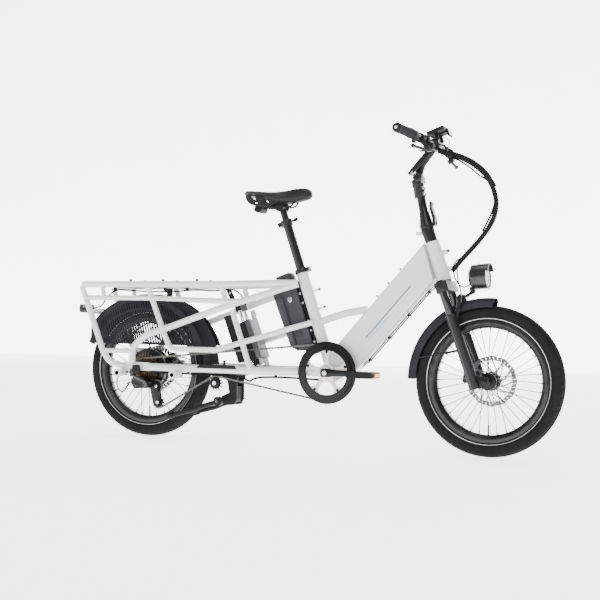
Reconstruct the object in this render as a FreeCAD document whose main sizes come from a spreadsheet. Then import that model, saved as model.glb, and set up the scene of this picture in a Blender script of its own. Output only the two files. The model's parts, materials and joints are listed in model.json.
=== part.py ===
"""Long-tail electric cargo bicycle, modelled as separate named pieces in millimetres.

Axes: +X forward, +Y to the rider's left, +Z up.  The origin is on the ground, in the middle of the bicycle's
length.  Stations along the bicycle are measured forward from the rear axle and moved to that origin by at().
"""
import FreeCAD, Part
import Sketcher
import math
import os

Vector = FreeCAD.Vector
Rotation = FreeCAD.Rotation
Placement = FreeCAD.Placement

doc = FreeCAD.newDocument("cargo_bicycle")

# ---------------------------------------------------------------------------------------------------- sizes
SIZES = {
    # wheels
    "wheelbase": 1362.0,
    "wheel_radius": 265.0,
    "tyre_half_width": 31.0,
    "rim_inner_radius": 186.0,
    "rim_half_width": 19.0,
    "spoke_radius": 1.3,
    "front_flange_radius": 31.0,
    "front_axle_radius": 6.0,
    "motor_radius": 78.0,
    "motor_half_width": 33.0,
    "rear_axle_radius": 6.0,
    "rotor_radius": 90.0,
    "rotor_thickness": 2.0,
    "running_gap": 0.08,
    # frame tubes
    "head_tube_radius": 27.0,
    "head_tube_bore": 22.0,
    "head_tube_length": 147.0,
    "steerer_radius": 14.3,
    "down_tube_depth": 120.0,
    "down_tube_width": 72.0,
    "down_tube_wall": 3.0,
    "seat_tube_radius": 22.0,
    "bracket_shell_radius": 27.0,
    "bracket_shell_bore": 20.0,
    "bracket_shell_half": 36.0,
    "top_rail_radius": 12.5,
    "stay_radius": 13.5,
    "side_rail_radius": 9.5,
    "lower_rail_radius": 10.5,
    "strut_radius": 10.5,
    "chainstay_radius": 15.0,
    "cross_tube_radius": 9.0,
    "socket_radius": 14.5,
    "socket_bore": 8.5,
    "socket_length": 62.0,
    # seat
    "outer_post_radius": 17.0,
    "inner_post_radius": 13.6,
    "collar_radius": 25.0,
    "collar_height": 17.0,
    # fork
    "stanchion_radius": 15.0,
    "fork_leg_radius": 19.0,
    "fork_leg_spacing": 57.0,
    "arch_radius": 8.0,
    # drivetrain
    "chain_pitch": 12.7,
    "ring_teeth": 52.0,
    "driven_teeth": 20.0,
    "idler_teeth": 13.0,
    "jockey_teeth": 11.0,
    "cog_thickness": 1.8,
    "chain_plate_height": 8.0,
    "chain_plate": 1.2,
    "guard_radius": 114.0,
    "crank_length": 170.0,
    "crank_thickness": 13.0,
    "spindle_radius": 8.5,
    "pedal_axle_radius": 6.0,
    # cockpit
    "bar_radius": 11.1,
    "grip_radius": 16.5,
    "loom_radius": 6.5,
    "stem_arm_radius": 13.0,
    # fittings
    "fender_thickness": 3.0,
    "rear_fender_radius": 290.0,
    "front_fender_radius": 288.0,
    "fender_half_width": 38.0,
    "guard_thickness": 2.5,
    "battery_half_width": 38.0,
    "headlight_radius": 44.0,
    "bolt_radius": 4.5,
    "kickstand_leg_radius": 9.0,
}


sheet = doc.addObject("Spreadsheet::Sheet", "Sizes")


class Size(float):
    """A driving dimension, or a sum or multiple of some, that remembers its expression over the sheet."""

    def __new__(cls, value, text):
        made = super().__new__(cls, value)
        made.text = text
        return made

    def joined(self, value, sign, other):
        return Size(value, f"({self.text} {sign} {getattr(other, 'text', float(other))})")

    def __add__(self, other):
        return self.joined(float(self) + float(other), "+", other)

    def __sub__(self, other):
        return self.joined(float(self) - float(other), "-", other)

    def __mul__(self, other):
        return self.joined(float(self) * float(other), "*", other)

    def __neg__(self):
        return Size(-float(self), f"(0 - {self.text})")


class Sizes:
    """The driving dimensions as attributes."""


for row, (alias, value) in enumerate(SIZES.items(), start=1):
    sheet.set(f"A{row}", alias)
    sheet.set(f"B{row}", str(value))
    sheet.setAlias(f"B{row}", alias)
    setattr(Sizes, alias, Size(value, f"Sizes.{alias}"))
doc.recompute()

# -------------------------------------------------------------------------------------------- stations, angles
REAR_END = -317.0
FRONT_END = Sizes.wheelbase + Sizes.wheel_radius
MIDDLE = (REAR_END + FRONT_END) / 2

BRACKET = (774.0, 276.0)
SEAT_TOP = (638.0, 657.0)
SEAT_LEAN = -19.6
HEAD_BOTTOM = (1195.0, 614.0)
HEAD_LEAN = -20.0
DOWN_TUBE_FOOT = (783.0, 269.0)
DOWN_TUBE_LEAN = 41.3
POST_SEAM = (1126.0, 803.0)
POST_LEAN = -12.0
STEM_PIVOT = (1092.0, 985.0)
BAR_CENTRE = (1151.0, 1099.0)
CHAIN_LINE = -52.0
IDLER = (316.0, 221.0)
GUIDE_PULLEY = (62.0, 199.0)
TENSION_PULLEY = (70.0, 137.0)
KICKSTAND_PIVOT = (345.0, 155.0)
UP = Vector(0, 0, 1)
LEFT = Vector(0, 1, 0)
FORWARD = Vector(1, 0, 0)


def at(x, y, z):
    """A point given by its station ahead of the rear axle, its offset to the left and its height."""
    return Vector(x - MIDDLE, y, z)


REAR_AXLE = at(0, 0, Sizes.wheel_radius)
FRONT_AXLE = at(Sizes.wheelbase, 0, Sizes.wheel_radius)
SEAT_FRAME = Placement(at(SEAT_TOP[0], 0, SEAT_TOP[1]), Rotation(LEFT, SEAT_LEAN))
HEAD_FRAME = Placement(at(HEAD_BOTTOM[0], 0, HEAD_BOTTOM[1]), Rotation(LEFT, HEAD_LEAN))
DOWN_FRAME = Placement(at(DOWN_TUBE_FOOT[0], 0, DOWN_TUBE_FOOT[1]), Rotation(LEFT, DOWN_TUBE_LEAN))
POST_FRAME = Placement(at(POST_SEAM[0], 0, POST_SEAM[1]), Rotation(LEFT, POST_LEAN))


def in_frame(frame, x, y, z):
    """A point given in a tilted frame, such as along the seat tube or the steering axis."""
    return frame.multVec(Vector(x, y, z))


# ------------------------------------------------------------------------------------------- building helpers
count = {"made": 0}


def unique(name):
    """A document name for a helper object that isn't a sub-part itself."""
    count["made"] += 1
    return f"{name}_{count['made']}"


def bind(thing, **sizes):
    """Sets each property, bound to the sheet where it is a driving dimension."""
    for name, value in sizes.items():
        if isinstance(value, Size):
            thing.setExpression(name, value.text)
        else:
            setattr(thing, name, value)
    return thing


def toward(direction):
    return Rotation(UP, Vector(*direction))


def cylinder(name, radius, height, base, direction=LEFT):
    made = doc.addObject("Part::Cylinder", unique(name))
    bind(made, Radius=radius, Height=height)
    made.Placement = Placement(base, toward(direction))
    return made


def bar(name, radius, start, end):
    """A round bar between two points."""
    return cylinder(name, radius, (end - start).Length, start, end - start)


def cone(name, radius_1, radius_2, start, end):
    made = doc.addObject("Part::Cone", unique(name))
    bind(made, Radius1=radius_1, Radius2=radius_2, Height=(end - start).Length)
    made.Placement = Placement(start, toward(end - start))
    return made


def sphere(name, radius, centre):
    made = doc.addObject("Part::Sphere", unique(name))
    bind(made, Radius=radius)
    made.Placement = Placement(centre, Rotation())
    return made


def box(name, length, width, height, frame, x, y, z):
    """A box whose near, right, low corner is at x, y, z of a frame."""
    made = doc.addObject("Part::Box", unique(name))
    bind(made, Length=length, Width=width, Height=height)
    made.Placement = frame.multiply(Placement(Vector(x, y, z), Rotation()))
    return made


def centred_box(name, length, width, height, frame, x, y, z):
    return box(name, length, width, height, frame,
               x - length / 2, y - width / 2, z - height / 2)


def cut(base, *tools):
    made = doc.addObject("Part::Cut", unique("cut"))
    made.Base = base
    made.Tool = tools[0] if len(tools) == 1 else fuse(*tools)
    return made


def fuse(*things):
    made = doc.addObject("Part::MultiFuse", unique("fuse"))
    made.Shapes = list(things)
    return made


def common(*things):
    made = doc.addObject("Part::MultiCommon", unique("common"))
    made.Shapes = list(things)
    return made


def gather(*things):
    """Separate solids kept together, such as a set of bolts."""
    made = doc.addObject("Part::Compound", unique("group"))
    made.Links = list(things)
    return made


def mirrored(thing):
    """The same piece on the other side of the bicycle."""
    made = doc.addObject("Part::Mirroring", unique("mirror"))
    made.Source = thing
    made.Normal = LEFT
    made.Base = Vector(0, 0, 0)
    return made


def ring(name, outer, inner, height, base, direction=LEFT):
    """A hollow cylinder."""
    return cut(cylinder(name, outer, height, base, direction),
               cylinder(name + "_bore", inner, height, base, direction))


def rounded_path(points, bends):
    """Straight runs between points, with a tangent arc of the given radius at each inner point."""
    edges = []
    start = points[0]
    for before, corner, after, radius in zip(points, points[1:], points[2:], bends):
        into = (corner - before).normalize()
        out = (after - corner).normalize()
        turn = into.getAngle(out)
        reach = radius * math.tan(turn / 2)
        first = corner - into * reach
        last = corner + out * reach
        middle_way = (out - into).normalize()
        middle = corner + middle_way * (radius / math.cos(turn / 2) - radius)
        edges.append(Part.makeLine(start, first))
        edges.append(Part.Arc(first, middle, last).toShape())
        start = last
    edges.append(Part.makeLine(start, points[-1]))
    return Part.Wire(edges)


def tube(name, radius, points, bend):
    """A bent round tube: a circle swept along a rounded path."""
    points = [Vector(p) for p in points]
    bends = bend if isinstance(bend, (list, tuple)) else [bend] * (len(points) - 2)
    spine = doc.addObject("Part::Feature", unique(name + "_path"))
    spine.Shape = rounded_path(points, bends)
    circle = doc.addObject("Part::Circle", unique(name + "_section"))
    bind(circle, Radius=radius)
    circle.Placement = Placement(points[0], toward(points[1] - points[0]))
    made = doc.addObject("Part::Sweep", unique(name))
    made.Sections = [circle]
    made.Spine = (spine, [f"Edge{i + 1}" for i in range(len(spine.Shape.Edges))])
    made.Solid = True
    made.Frenet = False
    return made


def fix_coordinate(sketch, corner, value, across):
    """Holds one coordinate of a corner: on an axis at zero, or at a distance, bound to the sheet where it can be."""
    size = float(value)
    if abs(size) < 1e-9:
        sketch.addConstraint(Sketcher.Constraint("PointOnObject", corner, 1, -2 if across else -1))
        return
    kind = "DistanceX" if across else "DistanceY"
    ends = (-1, 1, corner, 1) if size > 0 else (corner, 1, -1, 1)
    index = sketch.addConstraint(Sketcher.Constraint(kind, *ends, abs(size)))
    if isinstance(value, Size):
        sketch.setExpression(f"Constraints[{index}]", value.text if size > 0 else f"0 - {value.text}")


def outline_sketch(body, plane, corners, name="outline"):
    """A closed outline of straight lines on one of the body's own planes; each corner is two sizes."""
    sketch = body.newObject("Sketcher::SketchObject", unique(name))
    origin = next(f for f in body.Origin.OriginFeatures if f.Role == plane)
    sketch.AttachmentSupport = [(origin, "")]
    sketch.MapMode = "FlatFace"
    points = [Vector(float(x), float(y), 0) for x, y in corners]
    for start, end in zip(points, points[1:] + points[:1]):
        sketch.addGeometry(Part.LineSegment(start, end))
    for i in range(len(points)):
        sketch.addConstraint(Sketcher.Constraint("Coincident", i, 2, (i + 1) % len(points), 1))
    for i, (x, y) in enumerate(corners):
        fix_coordinate(sketch, i, x, True)
        fix_coordinate(sketch, i, y, False)
    return sketch


def lathe(name, profile, centre, angle=360.0, turn=0.0):
    """A body turned about a sideways axis; the profile's corners are radius and offset to the left."""
    body = doc.addObject("PartDesign::Body", unique(name))
    sketch = outline_sketch(body, "XY_Plane", profile)
    spin = body.newObject("PartDesign::Revolution", unique(name + "_turned"))
    spin.Profile = sketch
    spin.ReferenceAxis = (sketch, ["V_Axis"])
    spin.Angle = angle
    body.Placement = Placement(centre, Rotation(LEFT, turn))
    return body


def plate(name, outline, thickness, frame, side):
    """A flat plate upright in a frame's XZ plane, centred on an offset to the left."""
    body = doc.addObject("PartDesign::Body", unique(name))
    sketch = outline_sketch(body, "XZ_Plane", outline)
    pad = body.newObject("PartDesign::Pad", unique(name + "_pad"))
    pad.Profile = sketch
    bind(pad, Length=thickness)
    pad.Midplane = True
    body.Placement = frame.multiply(Placement(Vector(0, side, 0), Rotation()))
    return body


def flat_frame(x, z):
    """An upright frame at a station and height."""
    return Placement(at(x, 0, z), Rotation())


def each_clear_of_the_last(things):
    """Tubes coped against those before them, so that welded tubes meet face to face."""
    clear = [things[0]]
    for i, thing in enumerate(things[1:], start=1):
        clear.append(cut(thing, *things[:i]))
    return clear


PARTS = {}


def sub_part(name, thing):
    thing.Label = name
    PARTS[name] = thing
    return thing


def pitch_radius(teeth):
    return Sizes.chain_pitch / 2 / math.sin(math.pi / teeth)


# ------------------------------------------------------------------------------------------------- main frame
def make_main_frame():
    """Head tube, deep box-section down tube, seat tube, bottom bracket shell and the low brace between them."""
    s = Sizes
    depth = s.down_tube_depth
    half_depth = depth / 2
    shell = cylinder("bracket_shell", s.bracket_shell_radius, s.bracket_shell_half * 2,
                     at(BRACKET[0], -s.bracket_shell_half, BRACKET[1]))
    head = cylinder("head_tube", s.head_tube_radius, s.head_tube_length, HEAD_FRAME.Base, in_axis(HEAD_FRAME))
    outer = plate("down_tube", [(-half_depth, 96), (half_depth, 82), (half_depth, 508), (-half_depth, 581)],
                  s.down_tube_width, DOWN_FRAME, 0)
    wall = s.down_tube_wall
    inner_half = half_depth - wall
    inner = plate("down_tube_inside", [(-inner_half, 100), (inner_half, 86), (inner_half, 490),
                                       (-inner_half, 560)], s.down_tube_width - wall * 2, DOWN_FRAME, 0)
    gusset = plate("bracket_gusset", [(-30, -26), (22, -24), (half_depth, 83), (-half_depth, 97)],
                   s.down_tube_width - 8, DOWN_FRAME, 0)
    seat = cylinder("seat_tube", s.seat_tube_radius, 384, in_frame(SEAT_FRAME, 0, 0, -384), in_axis(SEAT_FRAME))
    brace = tube("low_brace", s.strut_radius * 1.35, [at(703, 0, 455), at(760, 0, 475), at(818, 0, 494),
                                                      at(905, 0, 509)], 120)
    web = plate("head_gusset", [(-24, 18), (-24, 128), (-70, 96), (-60, 30)], 8, HEAD_FRAME, 0)
    solid = fuse(shell, head, rounded_edges(outer, 12, in_axis(DOWN_FRAME)), gusset, seat, brace, web)
    post_bore = cylinder("seat_tube_bore", s.outer_post_radius + s.running_gap, 352,
                         in_frame(SEAT_FRAME, 0, 0, -350), in_axis(SEAT_FRAME))
    head_bore = cylinder("head_tube_bore", s.head_tube_bore, s.head_tube_length + 60,
                         in_frame(HEAD_FRAME, 0, 0, -30), in_axis(HEAD_FRAME))
    shell_bore = cylinder("bracket_bore", s.bracket_shell_bore, s.bracket_shell_half * 2 + 20,
                          at(BRACKET[0], -s.bracket_shell_half - 10, BRACKET[1]))
    keep_post = ring("seat_wall", s.seat_tube_radius, s.outer_post_radius + s.running_gap, 300,
                     in_frame(SEAT_FRAME, 0, 0, -300), in_axis(SEAT_FRAME))
    return sub_part("main_frame", cut(fuse(cut(solid, inner), keep_post), post_bore, head_bore, shell_bore))


def in_axis(frame):
    """The direction of a tilted frame's own Z axis."""
    return frame.Rotation.multVec(UP)


def rounded_edges(thing, radius, direction):
    """A fillet on the straight edges that run along a direction."""
    doc.recompute()
    direction = Vector(*direction).normalize()
    along = []
    for i, edge in enumerate(thing.Shape.Edges, start=1):
        straight = (edge.Vertexes[-1].Point - edge.Vertexes[0].Point)
        if straight.Length > radius and abs(straight.normalize().dot(direction)) > 0.999:
            along.append((i, float(radius), float(radius)))
    made = doc.addObject("Part::Fillet", unique("fillet"))
    made.Base = thing
    made.Edges = along
    return made


STAY_PATH = [(44, -90, 274), (421, -74, 274), (490, -68, 274), (640, -35, 275), (752, -31, 276)]
SOCKETS = (-65.0, 178.0)
SOCKET_HEIGHT = 249.0


def make_chainstays(main):
    """Chainstays with their dropout blocks, and the running-board sockets that pass under them."""
    s = Sizes
    stay = tube("chainstay", s.chainstay_radius, [at(*point) for point in STAY_PATH], 160)
    block = rounded_edges(box("dropout", 122, 14, 33, flat_frame(0, 0), -72, -97, 257.9), 6, LEFT)
    axle_slot = cylinder("axle_slot", s.rear_axle_radius, 40, at(0, -110, s.wheel_radius))
    bar_and_block = cut(fuse(stay, block), axle_slot, main)
    sockets = []
    for x in SOCKETS:
        solid = cylinder("socket", s.socket_radius, s.socket_length, at(x, -84, SOCKET_HEIGHT), -LEFT)
        bore = cylinder("socket_bore", s.socket_bore, s.socket_length - 6, at(x, -90, SOCKET_HEIGHT), -LEFT)
        sockets.append(cut(solid, bore, bar_and_block))
    side = gather(bar_and_block, *sockets)
    return sub_part("chainstays", gather(side, mirrored(side)))


def make_rack_sides(main, stays):
    """The long cargo rack: deck rail, second rail, rear upright, diagonal stay, side loop and struts."""
    s = Sizes
    deck = tube("deck_rail", s.top_rail_radius, [at(-248, -115, 591), at(357, -100, 595), at(560, -62, 602),
                                                 at(640, -34, 604)], 150)
    upright = tube("rear_upright", s.side_rail_radius * 1.2,
                   [at(-254, -115, 584), at(-151, -114, 334), at(-118, -112, 286), at(-62, -96, 274)],
                   [60, 60])
    diagonal = tube("diagonal_stay", s.stay_radius * 0.93,
                    [at(643, -34, 600), at(600, -50, 586), at(373, -92, 513), at(130, -105, 426),
                     at(38, -105, 398), at(-24, -102, 350), at(-26, -96, 284)], [200, 200, 200, 60, 60])
    middle = tube("second_rail", s.side_rail_radius, [at(-231, -115, 539), at(59, -110, 540),
                                                      at(405, -97, 531), at(440, -90, 534)], [300, 60])
    link = tube("upright_link", s.side_rail_radius, [at(-148, -114, 333), at(-24, -103, 334)], [])
    loop = tube("side_loop", s.lower_rail_radius,
                [at(41, -110, 590), at(123, -107, 395), at(148, -106, 347), at(337, -100, 347),
                 at(610, -60, 430), at(703, -29, 459)], [60, 30, 60, 120])
    upper = tube("upper_strut", s.strut_radius, [at(357, -100, 590), at(377, -92, 515)], [])
    lower = tube("lower_strut", s.strut_radius, [at(398, -88, 500), at(474, -80, 280)], [])
    short = tube("short_strut", s.side_rail_radius * 0.9, [at(-160, -115, 588), at(-150, -115, 540)], [])
    tubes = each_clear_of_the_last([deck, upright, diagonal, middle, link, loop, upper, lower, short])
    right = gather(*[cut(thing, main, stays) for thing in tubes])
    return sub_part("rack_sides", gather(right, mirrored(right)))


CROSS_TUBES = [(-68, 588), (78, 588), (228, 590)]


def make_cross_tubes():
    """Tubes across the rack between its two sides."""
    s = Sizes
    things = []
    for x, z in CROSS_TUBES:
        across = cylinder("cross_tube", s.cross_tube_radius, 224, at(x, -112, z))
        things.append(cut(across, PARTS["rack_sides"]))
    light_bar = cylinder("light_bar", s.cross_tube_radius, 228, at(-213, -114, 484))
    things.append(cut(light_bar, PARTS["rack_sides"]))
    front = cylinder("front_cross_tube", s.cross_tube_radius, 180, at(377, -90, 516))
    things.append(cut(front, PARTS["rack_sides"]))
    return sub_part("cross_tubes", gather(*things))


# ------------------------------------------------------------------------------------- fenders, guards, lights
def fender_profile(radius, half_width):
    t = Sizes.fender_thickness
    return [(radius + t, -half_width * 0.62), (radius + t, half_width * 0.62), (radius - 12, half_width),
            (radius - 14, half_width - 2.6), (radius, half_width * 0.56), (radius, half_width * -0.56),
            (radius - 14, 2.6 - half_width), (radius - 12, -half_width)]


def make_rear_fender():
    """The rear fender, its brackets to the rack and its hangers."""
    s = Sizes
    arc = lathe("rear_fender_arc", fender_profile(s.rear_fender_radius, s.fender_half_width), REAR_AXLE,
                angle=155.0, turn=-160.0)
    low = at(-213, 0, 484)
    strap = box("fender_strap", 20, 30, 14, flat_frame(0, 0), -222, -15, 469)
    hanger = box("fender_hanger", 14, 24, 32, flat_frame(0, 0), 71, -12, 548)
    room = cylinder("cross_room", s.cross_tube_radius, 60, at(78, -30, 588))
    room_low = cylinder("bar_room", s.cross_tube_radius, 60, low - Vector(0, 30, 0))
    return sub_part("rear_fender", cut(fuse(arc, strap, hanger), room, room_low))


def make_wheel_guards():
    """Slotted black panels between the rack and the rear wheel, one each side."""
    s = Sizes
    side = -74
    disc = cylinder("guard_disc", 284, s.guard_thickness, at(0, side, s.wheel_radius))
    window = box("guard_window", 600, 20, 240, flat_frame(0, 0), -232, side - 8, 360)
    slots = []
    for i in range(19):
        angle = 28 + 6.6 * i
        frame = Placement(at(0, side - 6, s.wheel_radius), Rotation(LEFT, 90 - angle))
        slots.append(box("guard_slot", 6, 20, 62, frame, -3, 0, 206))
    for i in range(15):
        angle = 44 + 6.6 * i
        frame = Placement(at(0, side - 6, s.wheel_radius), Rotation(LEFT, 90 - angle))
        slots.append(box("guard_short_slot", 5, 20, 44, frame, -2.5, 0, 148))
    panel = cut(common(disc, window), gather(*slots))
    hanger = cylinder("guard_hanger", 5, 27, at(66, side + 1, 530), -LEFT)
    rear_clip = cylinder("guard_rear_clip", 5, 34, at(-166, side + 1, 371), -LEFT)
    loop_clip = cylinder("guard_clip", 5, 26, at(123, side + s.guard_thickness, 395), -LEFT)
    right = cut(fuse(panel, loop_clip, hanger, rear_clip), PARTS["rack_sides"])
    return sub_part("wheel_guards", gather(right, mirrored(right)))


def make_tail_light():
    """Tail light housing with its red lens and the arm to the light bar."""
    s = Sizes
    body = rounded_edges(box("tail_light_body", 14, 84, 34, flat_frame(0, 0), -312, -42, 480), 5, FORWARD)
    lens = rounded_edges(box("tail_light_lens", 5, 76, 26, flat_frame(0, 0), -317, -38, 484), 4, FORWARD)
    arm = box("tail_light_arm", 80, 26, 5, flat_frame(0, 0), -298, -13, 492)
    room = cylinder("bar_room", s.cross_tube_radius, 40, at(-213, -20, 484))
    return sub_part("tail_light", gather(cut(fuse(body, arm), room), lens))


CONTROLLER_FRAME = Placement(at(436, 0, 392), Rotation(LEFT, -21.4))


def make_controller_box():
    """The motor controller's dark box, its grey front cover and the post that holds it."""
    f = CONTROLLER_FRAME
    body = rounded_edges(box("controller_body", 30, 78, 150, f, -16, -39, -84), 4, in_axis(f))
    cover = rounded_edges(box("controller_cover", 22, 84, 150, f, 14, -42, -84), 7, in_axis(f))
    rear = rounded_edges(box("charger_body", 26, 70, 140, f, -66, -35, -74), 4, in_axis(f))
    rear_link = box("charger_link", 26, 30, 12, f, -41, -15, 20)
    rods = [cylinder("controller_rod", 7, 50, in_frame(f, 2, y, 66), in_axis(f)) for y in (-20, 20)]
    block = box("latch_block", 22, 60, 44, f, -10, -30, 112)
    room = cylinder("cross_room", Sizes.cross_tube_radius, 90, at(377, -45, 516))
    foot = box("controller_foot", 22, 40, 22, f, -8, -20, -104)
    return sub_part("controller_box", cut(fuse(body, cover, rear, rear_link, block, foot, *rods), room))


# ----------------------------------------------------------------------------------------------------- battery
def make_battery_dock():
    """The rail on the back of the seat tube that the battery slides along."""
    s = Sizes
    f = SEAT_FRAME
    rail = box("dock_rail", 11, 26, 262, f, -34, -13, -304)
    foot = box("dock_foot", 30, 44, 10, f, -54, -22, -318)
    neck = box("dock_neck", 16, 26, 16, f, -34, -13, -318)
    seat = cylinder("seat_room", s.seat_tube_radius, 320, in_frame(f, 0, 0, -320), in_axis(f))
    return sub_part("battery_dock", cut(fuse(rail, foot, neck), seat))


def make_battery():
    """The battery pack: a wide rear part and a narrower front part that passes between the rails."""
    s = Sizes
    front = [(-35, -60), (-35, -304), (-56, -306), (-118, -268), (-128, -62), (-96, -40), (-98, 0), (-42, 0)]
    rear = [(-92, -80), (-92, -290), (-118, -266), (-126, -80)]
    narrow = plate("battery_front", front, 52, SEAT_FRAME, 0)
    wide = plate("battery_rear", rear, s.battery_half_width * 2, SEAT_FRAME, 0)
    grip_room = plate("handle_hole", [(-54, -44), (-54, -16), (-86, -16), (-86, -44)], 80, SEAT_FRAME, 0)
    return sub_part("battery", cut(fuse(narrow, rounded_edges(wide, 8, in_axis(SEAT_FRAME))), grip_room))


# ---------------------------------------------------------------------------------------------------- kickstand
def make_kickstand_bracket():
    """The cast bracket under the chainstays that carries the stand's pivot pin."""
    s = Sizes
    outline = [(330, 252), (404, 252), (396, 232), (398, 160), (386, 140), (342, 136), (331, 150), (335, 172),
               (366, 186), (358, 228)]
    cheek = plate("stand_cheek", [(x - 350, z - 155) for x, z in outline], 9, flat_frame(350, 155), -30)
    top = box("stand_plate", 74, 144, 8, flat_frame(0, 0), 332, -72, 252)
    pin = cylinder("stand_pin", 6, 190, at(*pivot_point(-95)))
    block = box("stand_block", 26, 52, 60, flat_frame(0, 0), 366, -26, 150)
    stays = [tube("stay_room", s.chainstay_radius, [at(x, y * side, z) for x, y, z in STAY_PATH], 160)
             for side in (1, -1)]
    return sub_part("kickstand_bracket", cut(fuse(cheek, mirrored(cheek), top, block, pin), *stays))


def pivot_point(y):
    return (KICKSTAND_PIVOT[0], y, KICKSTAND_PIVOT[1])


def make_kickstand_legs():
    """Both legs of the stand, folded back, with their hubs, cross tie and rubber feet."""
    s = Sizes
    side = -80
    hub = cylinder("stand_hub", 17, 22, at(*pivot_point(side - 11)))
    leg = tube("stand_leg", s.kickstand_leg_radius, [at(340, side, 152), at(293, side - 6, 137),
                                                     at(240, side - 16, 117), at(158, side - 20, 95)], 60)
    foot = bar("stand_foot", s.kickstand_leg_radius + 4, at(164, side - 20, 96.5), at(140, side - 20, 90))
    bore = cylinder("stand_bore", 6 + s.running_gap, 60, at(*pivot_point(side - 30)))
    right = cut(fuse(hub, leg, foot), bore)
    tie = cylinder("stand_tie", 6, 170, at(293, -85, 137))
    return sub_part("kickstand_legs", fuse(right, mirrored(right), tie))


# -------------------------------------------------------------------------------------------------- drivetrain
def toothed(name, teeth, centre, side, bore):
    """A sprocket: a disc with a scalloped edge."""
    s = Sizes
    pitch = pitch_radius(teeth)
    disc = cylinder(name, pitch + 3.0, s.cog_thickness, centre + Vector(0, side - s.cog_thickness / 2, 0))
    notches = []
    for i in range(int(teeth)):
        angle = 2 * math.pi * (i + 0.5) / teeth
        spot = centre + Vector(math.cos(angle) * pitch, side - 3, math.sin(angle) * pitch)
        notches.append(cylinder(name + "_gap", 3.9, 6, spot))
    return cut(disc, gather(*notches), cylinder(name + "_bore", bore, 10, centre + Vector(0, side - 5, 0)))


def make_chainring():
    """The 52-tooth chainring with its black guard ring."""
    s = Sizes
    centre = at(BRACKET[0], 0, BRACKET[1])
    blade = toothed("chainring_blade", s.ring_teeth, centre, CHAIN_LINE, 84)
    guard = lathe("chain_guard", [(85, CHAIN_LINE - 3.4), (85, CHAIN_LINE - 0.9), (96, CHAIN_LINE - 0.9),
                                  (97, CHAIN_LINE - 4.2), (s.guard_radius, CHAIN_LINE - 4.2),
                                  (s.guard_radius, CHAIN_LINE - 7.4), (90, CHAIN_LINE - 7.4)], centre)
    return sub_part("chainring", fuse(blade, guard))


def make_crank_spider():
    """The five-armed spider that carries the chainring."""
    s = Sizes
    centre = at(BRACKET[0], 0, BRACKET[1])
    hub = cylinder("spider_hub", 20, 9, centre + Vector(0, -64, 0))
    arms = []
    for i in range(5):
        f = Placement(centre, Rotation(LEFT, 90 + 72 * i))
        stem = plate("spider_arm", [(-9, 10), (9, 10), (6, 62), (20, 90), (12, 94), (0, 76), (-12, 94),
                                    (-20, 90), (-6, 62)], 5, f, -58.5)
        arms.append(stem)
    ring_room = lathe("spider_room", [(84.0, -58), (84.0, -48), (130, -48), (130, -62), (90, -62),
                                      (90, -59.4), (85, -55.4)], centre)
    bore = cylinder("spider_bore", s.spindle_radius, 40, centre + Vector(0, -80, 0))
    return sub_part("crank_spider", cut(fuse(hub, *arms), ring_room, bore))


def crank_arm(side, way):
    """One crank arm; way is +1 pointing forward and -1 pointing back."""
    s = Sizes
    reach = s.crank_length
    outline = [(-15, -15), (15, -15), (40, -11), (reach - 12, -10), (reach + 10, -9), (reach + 14, 0),
               (reach + 10, 9), (reach - 12, 10), (40, 11), (15, 15), (-15, 15), (-19, 0)]
    f = Placement(at(BRACKET[0], 0, BRACKET[1]), Rotation(LEFT, 0 if way > 0 else 180))
    return plate("crank_arm", outline, s.crank_thickness, f, side)


def make_crank_arms():
    """Both crank arms on one spindle, with their end caps."""
    s = Sizes
    centre = at(BRACKET[0], 0, BRACKET[1])
    right = crank_arm(-72, 1)
    left = crank_arm(72, -1)
    spindle = cylinder("spindle", s.spindle_radius, 150, centre - Vector(0, 75, 0))
    caps = [cylinder("crank_cap", 11, 5, centre - Vector(0, 83, 0)),
            cylinder("crank_cap", 11, 5, centre + Vector(0, 78, 0))]
    holes = [cylinder("pedal_thread", s.pedal_axle_radius + s.running_gap, 40,
                      centre + Vector(way * s.crank_length, way * -72 - 20, 0)) for way in (1, -1)]
    return sub_part("crank_arms", cut(fuse(right, left, spindle, *caps), *holes))


def pedal(way):
    """A platform pedal with its axle and amber reflectors."""
    s = Sizes
    middle = at(BRACKET[0] + way * s.crank_length, way * -138, BRACKET[1])
    f = Placement(middle, Rotation())
    outer = rounded_edges(centred_box("pedal_body", 102, 84, 22, f, 0, 0, 0), 8, LEFT)
    holes = [centred_box("pedal_hole", 26, 58, 40, f, x, 0, 0) for x in (-30, 30)]
    core = cylinder("pedal_core", 12, 84, middle - Vector(0, 42, 0))
    axle = cylinder("pedal_axle", s.pedal_axle_radius, 36, middle + Vector(0, way * 55 - 18, 0))
    reflectors = [centred_box("pedal_reflector", 4, 56, 12, f, x, 0, 0) for x in (-53, 53)]
    return gather(fuse(cut(outer, *holes), core, axle), *reflectors)


def make_freewheel():
    """Six sprockets on one freewheel body; the chain runs on the 20-tooth one."""
    s = Sizes
    cogs = []
    for teeth, side in ((12, -67), (14, -62), (17, -57), (20, -52), (24, -47), (28, -42)):
        cogs.append(toothed(f"cog_{teeth}", teeth, REAR_AXLE, side, 15))
    body = cylinder("freewheel_body", 17, 34, REAR_AXLE + Vector(0, -70, 0))
    bore = cylinder("freewheel_bore", s.rear_axle_radius + s.running_gap, 60, REAR_AXLE + Vector(0, -80, 0))
    return sub_part("freewheel", cut(fuse(body, *cogs), bore))


def make_pulley(name, teeth, place, bore):
    s = Sizes
    centre = at(place[0], 0, place[1])
    disc = toothed(name + "_disc", teeth, centre, CHAIN_LINE, bore + 2)
    hub = ring(name + "_hub", bore + 6, bore + s.running_gap, 9, centre + Vector(0, CHAIN_LINE - 4.5, 0))
    return sub_part(name, fuse(disc, hub))


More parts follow.
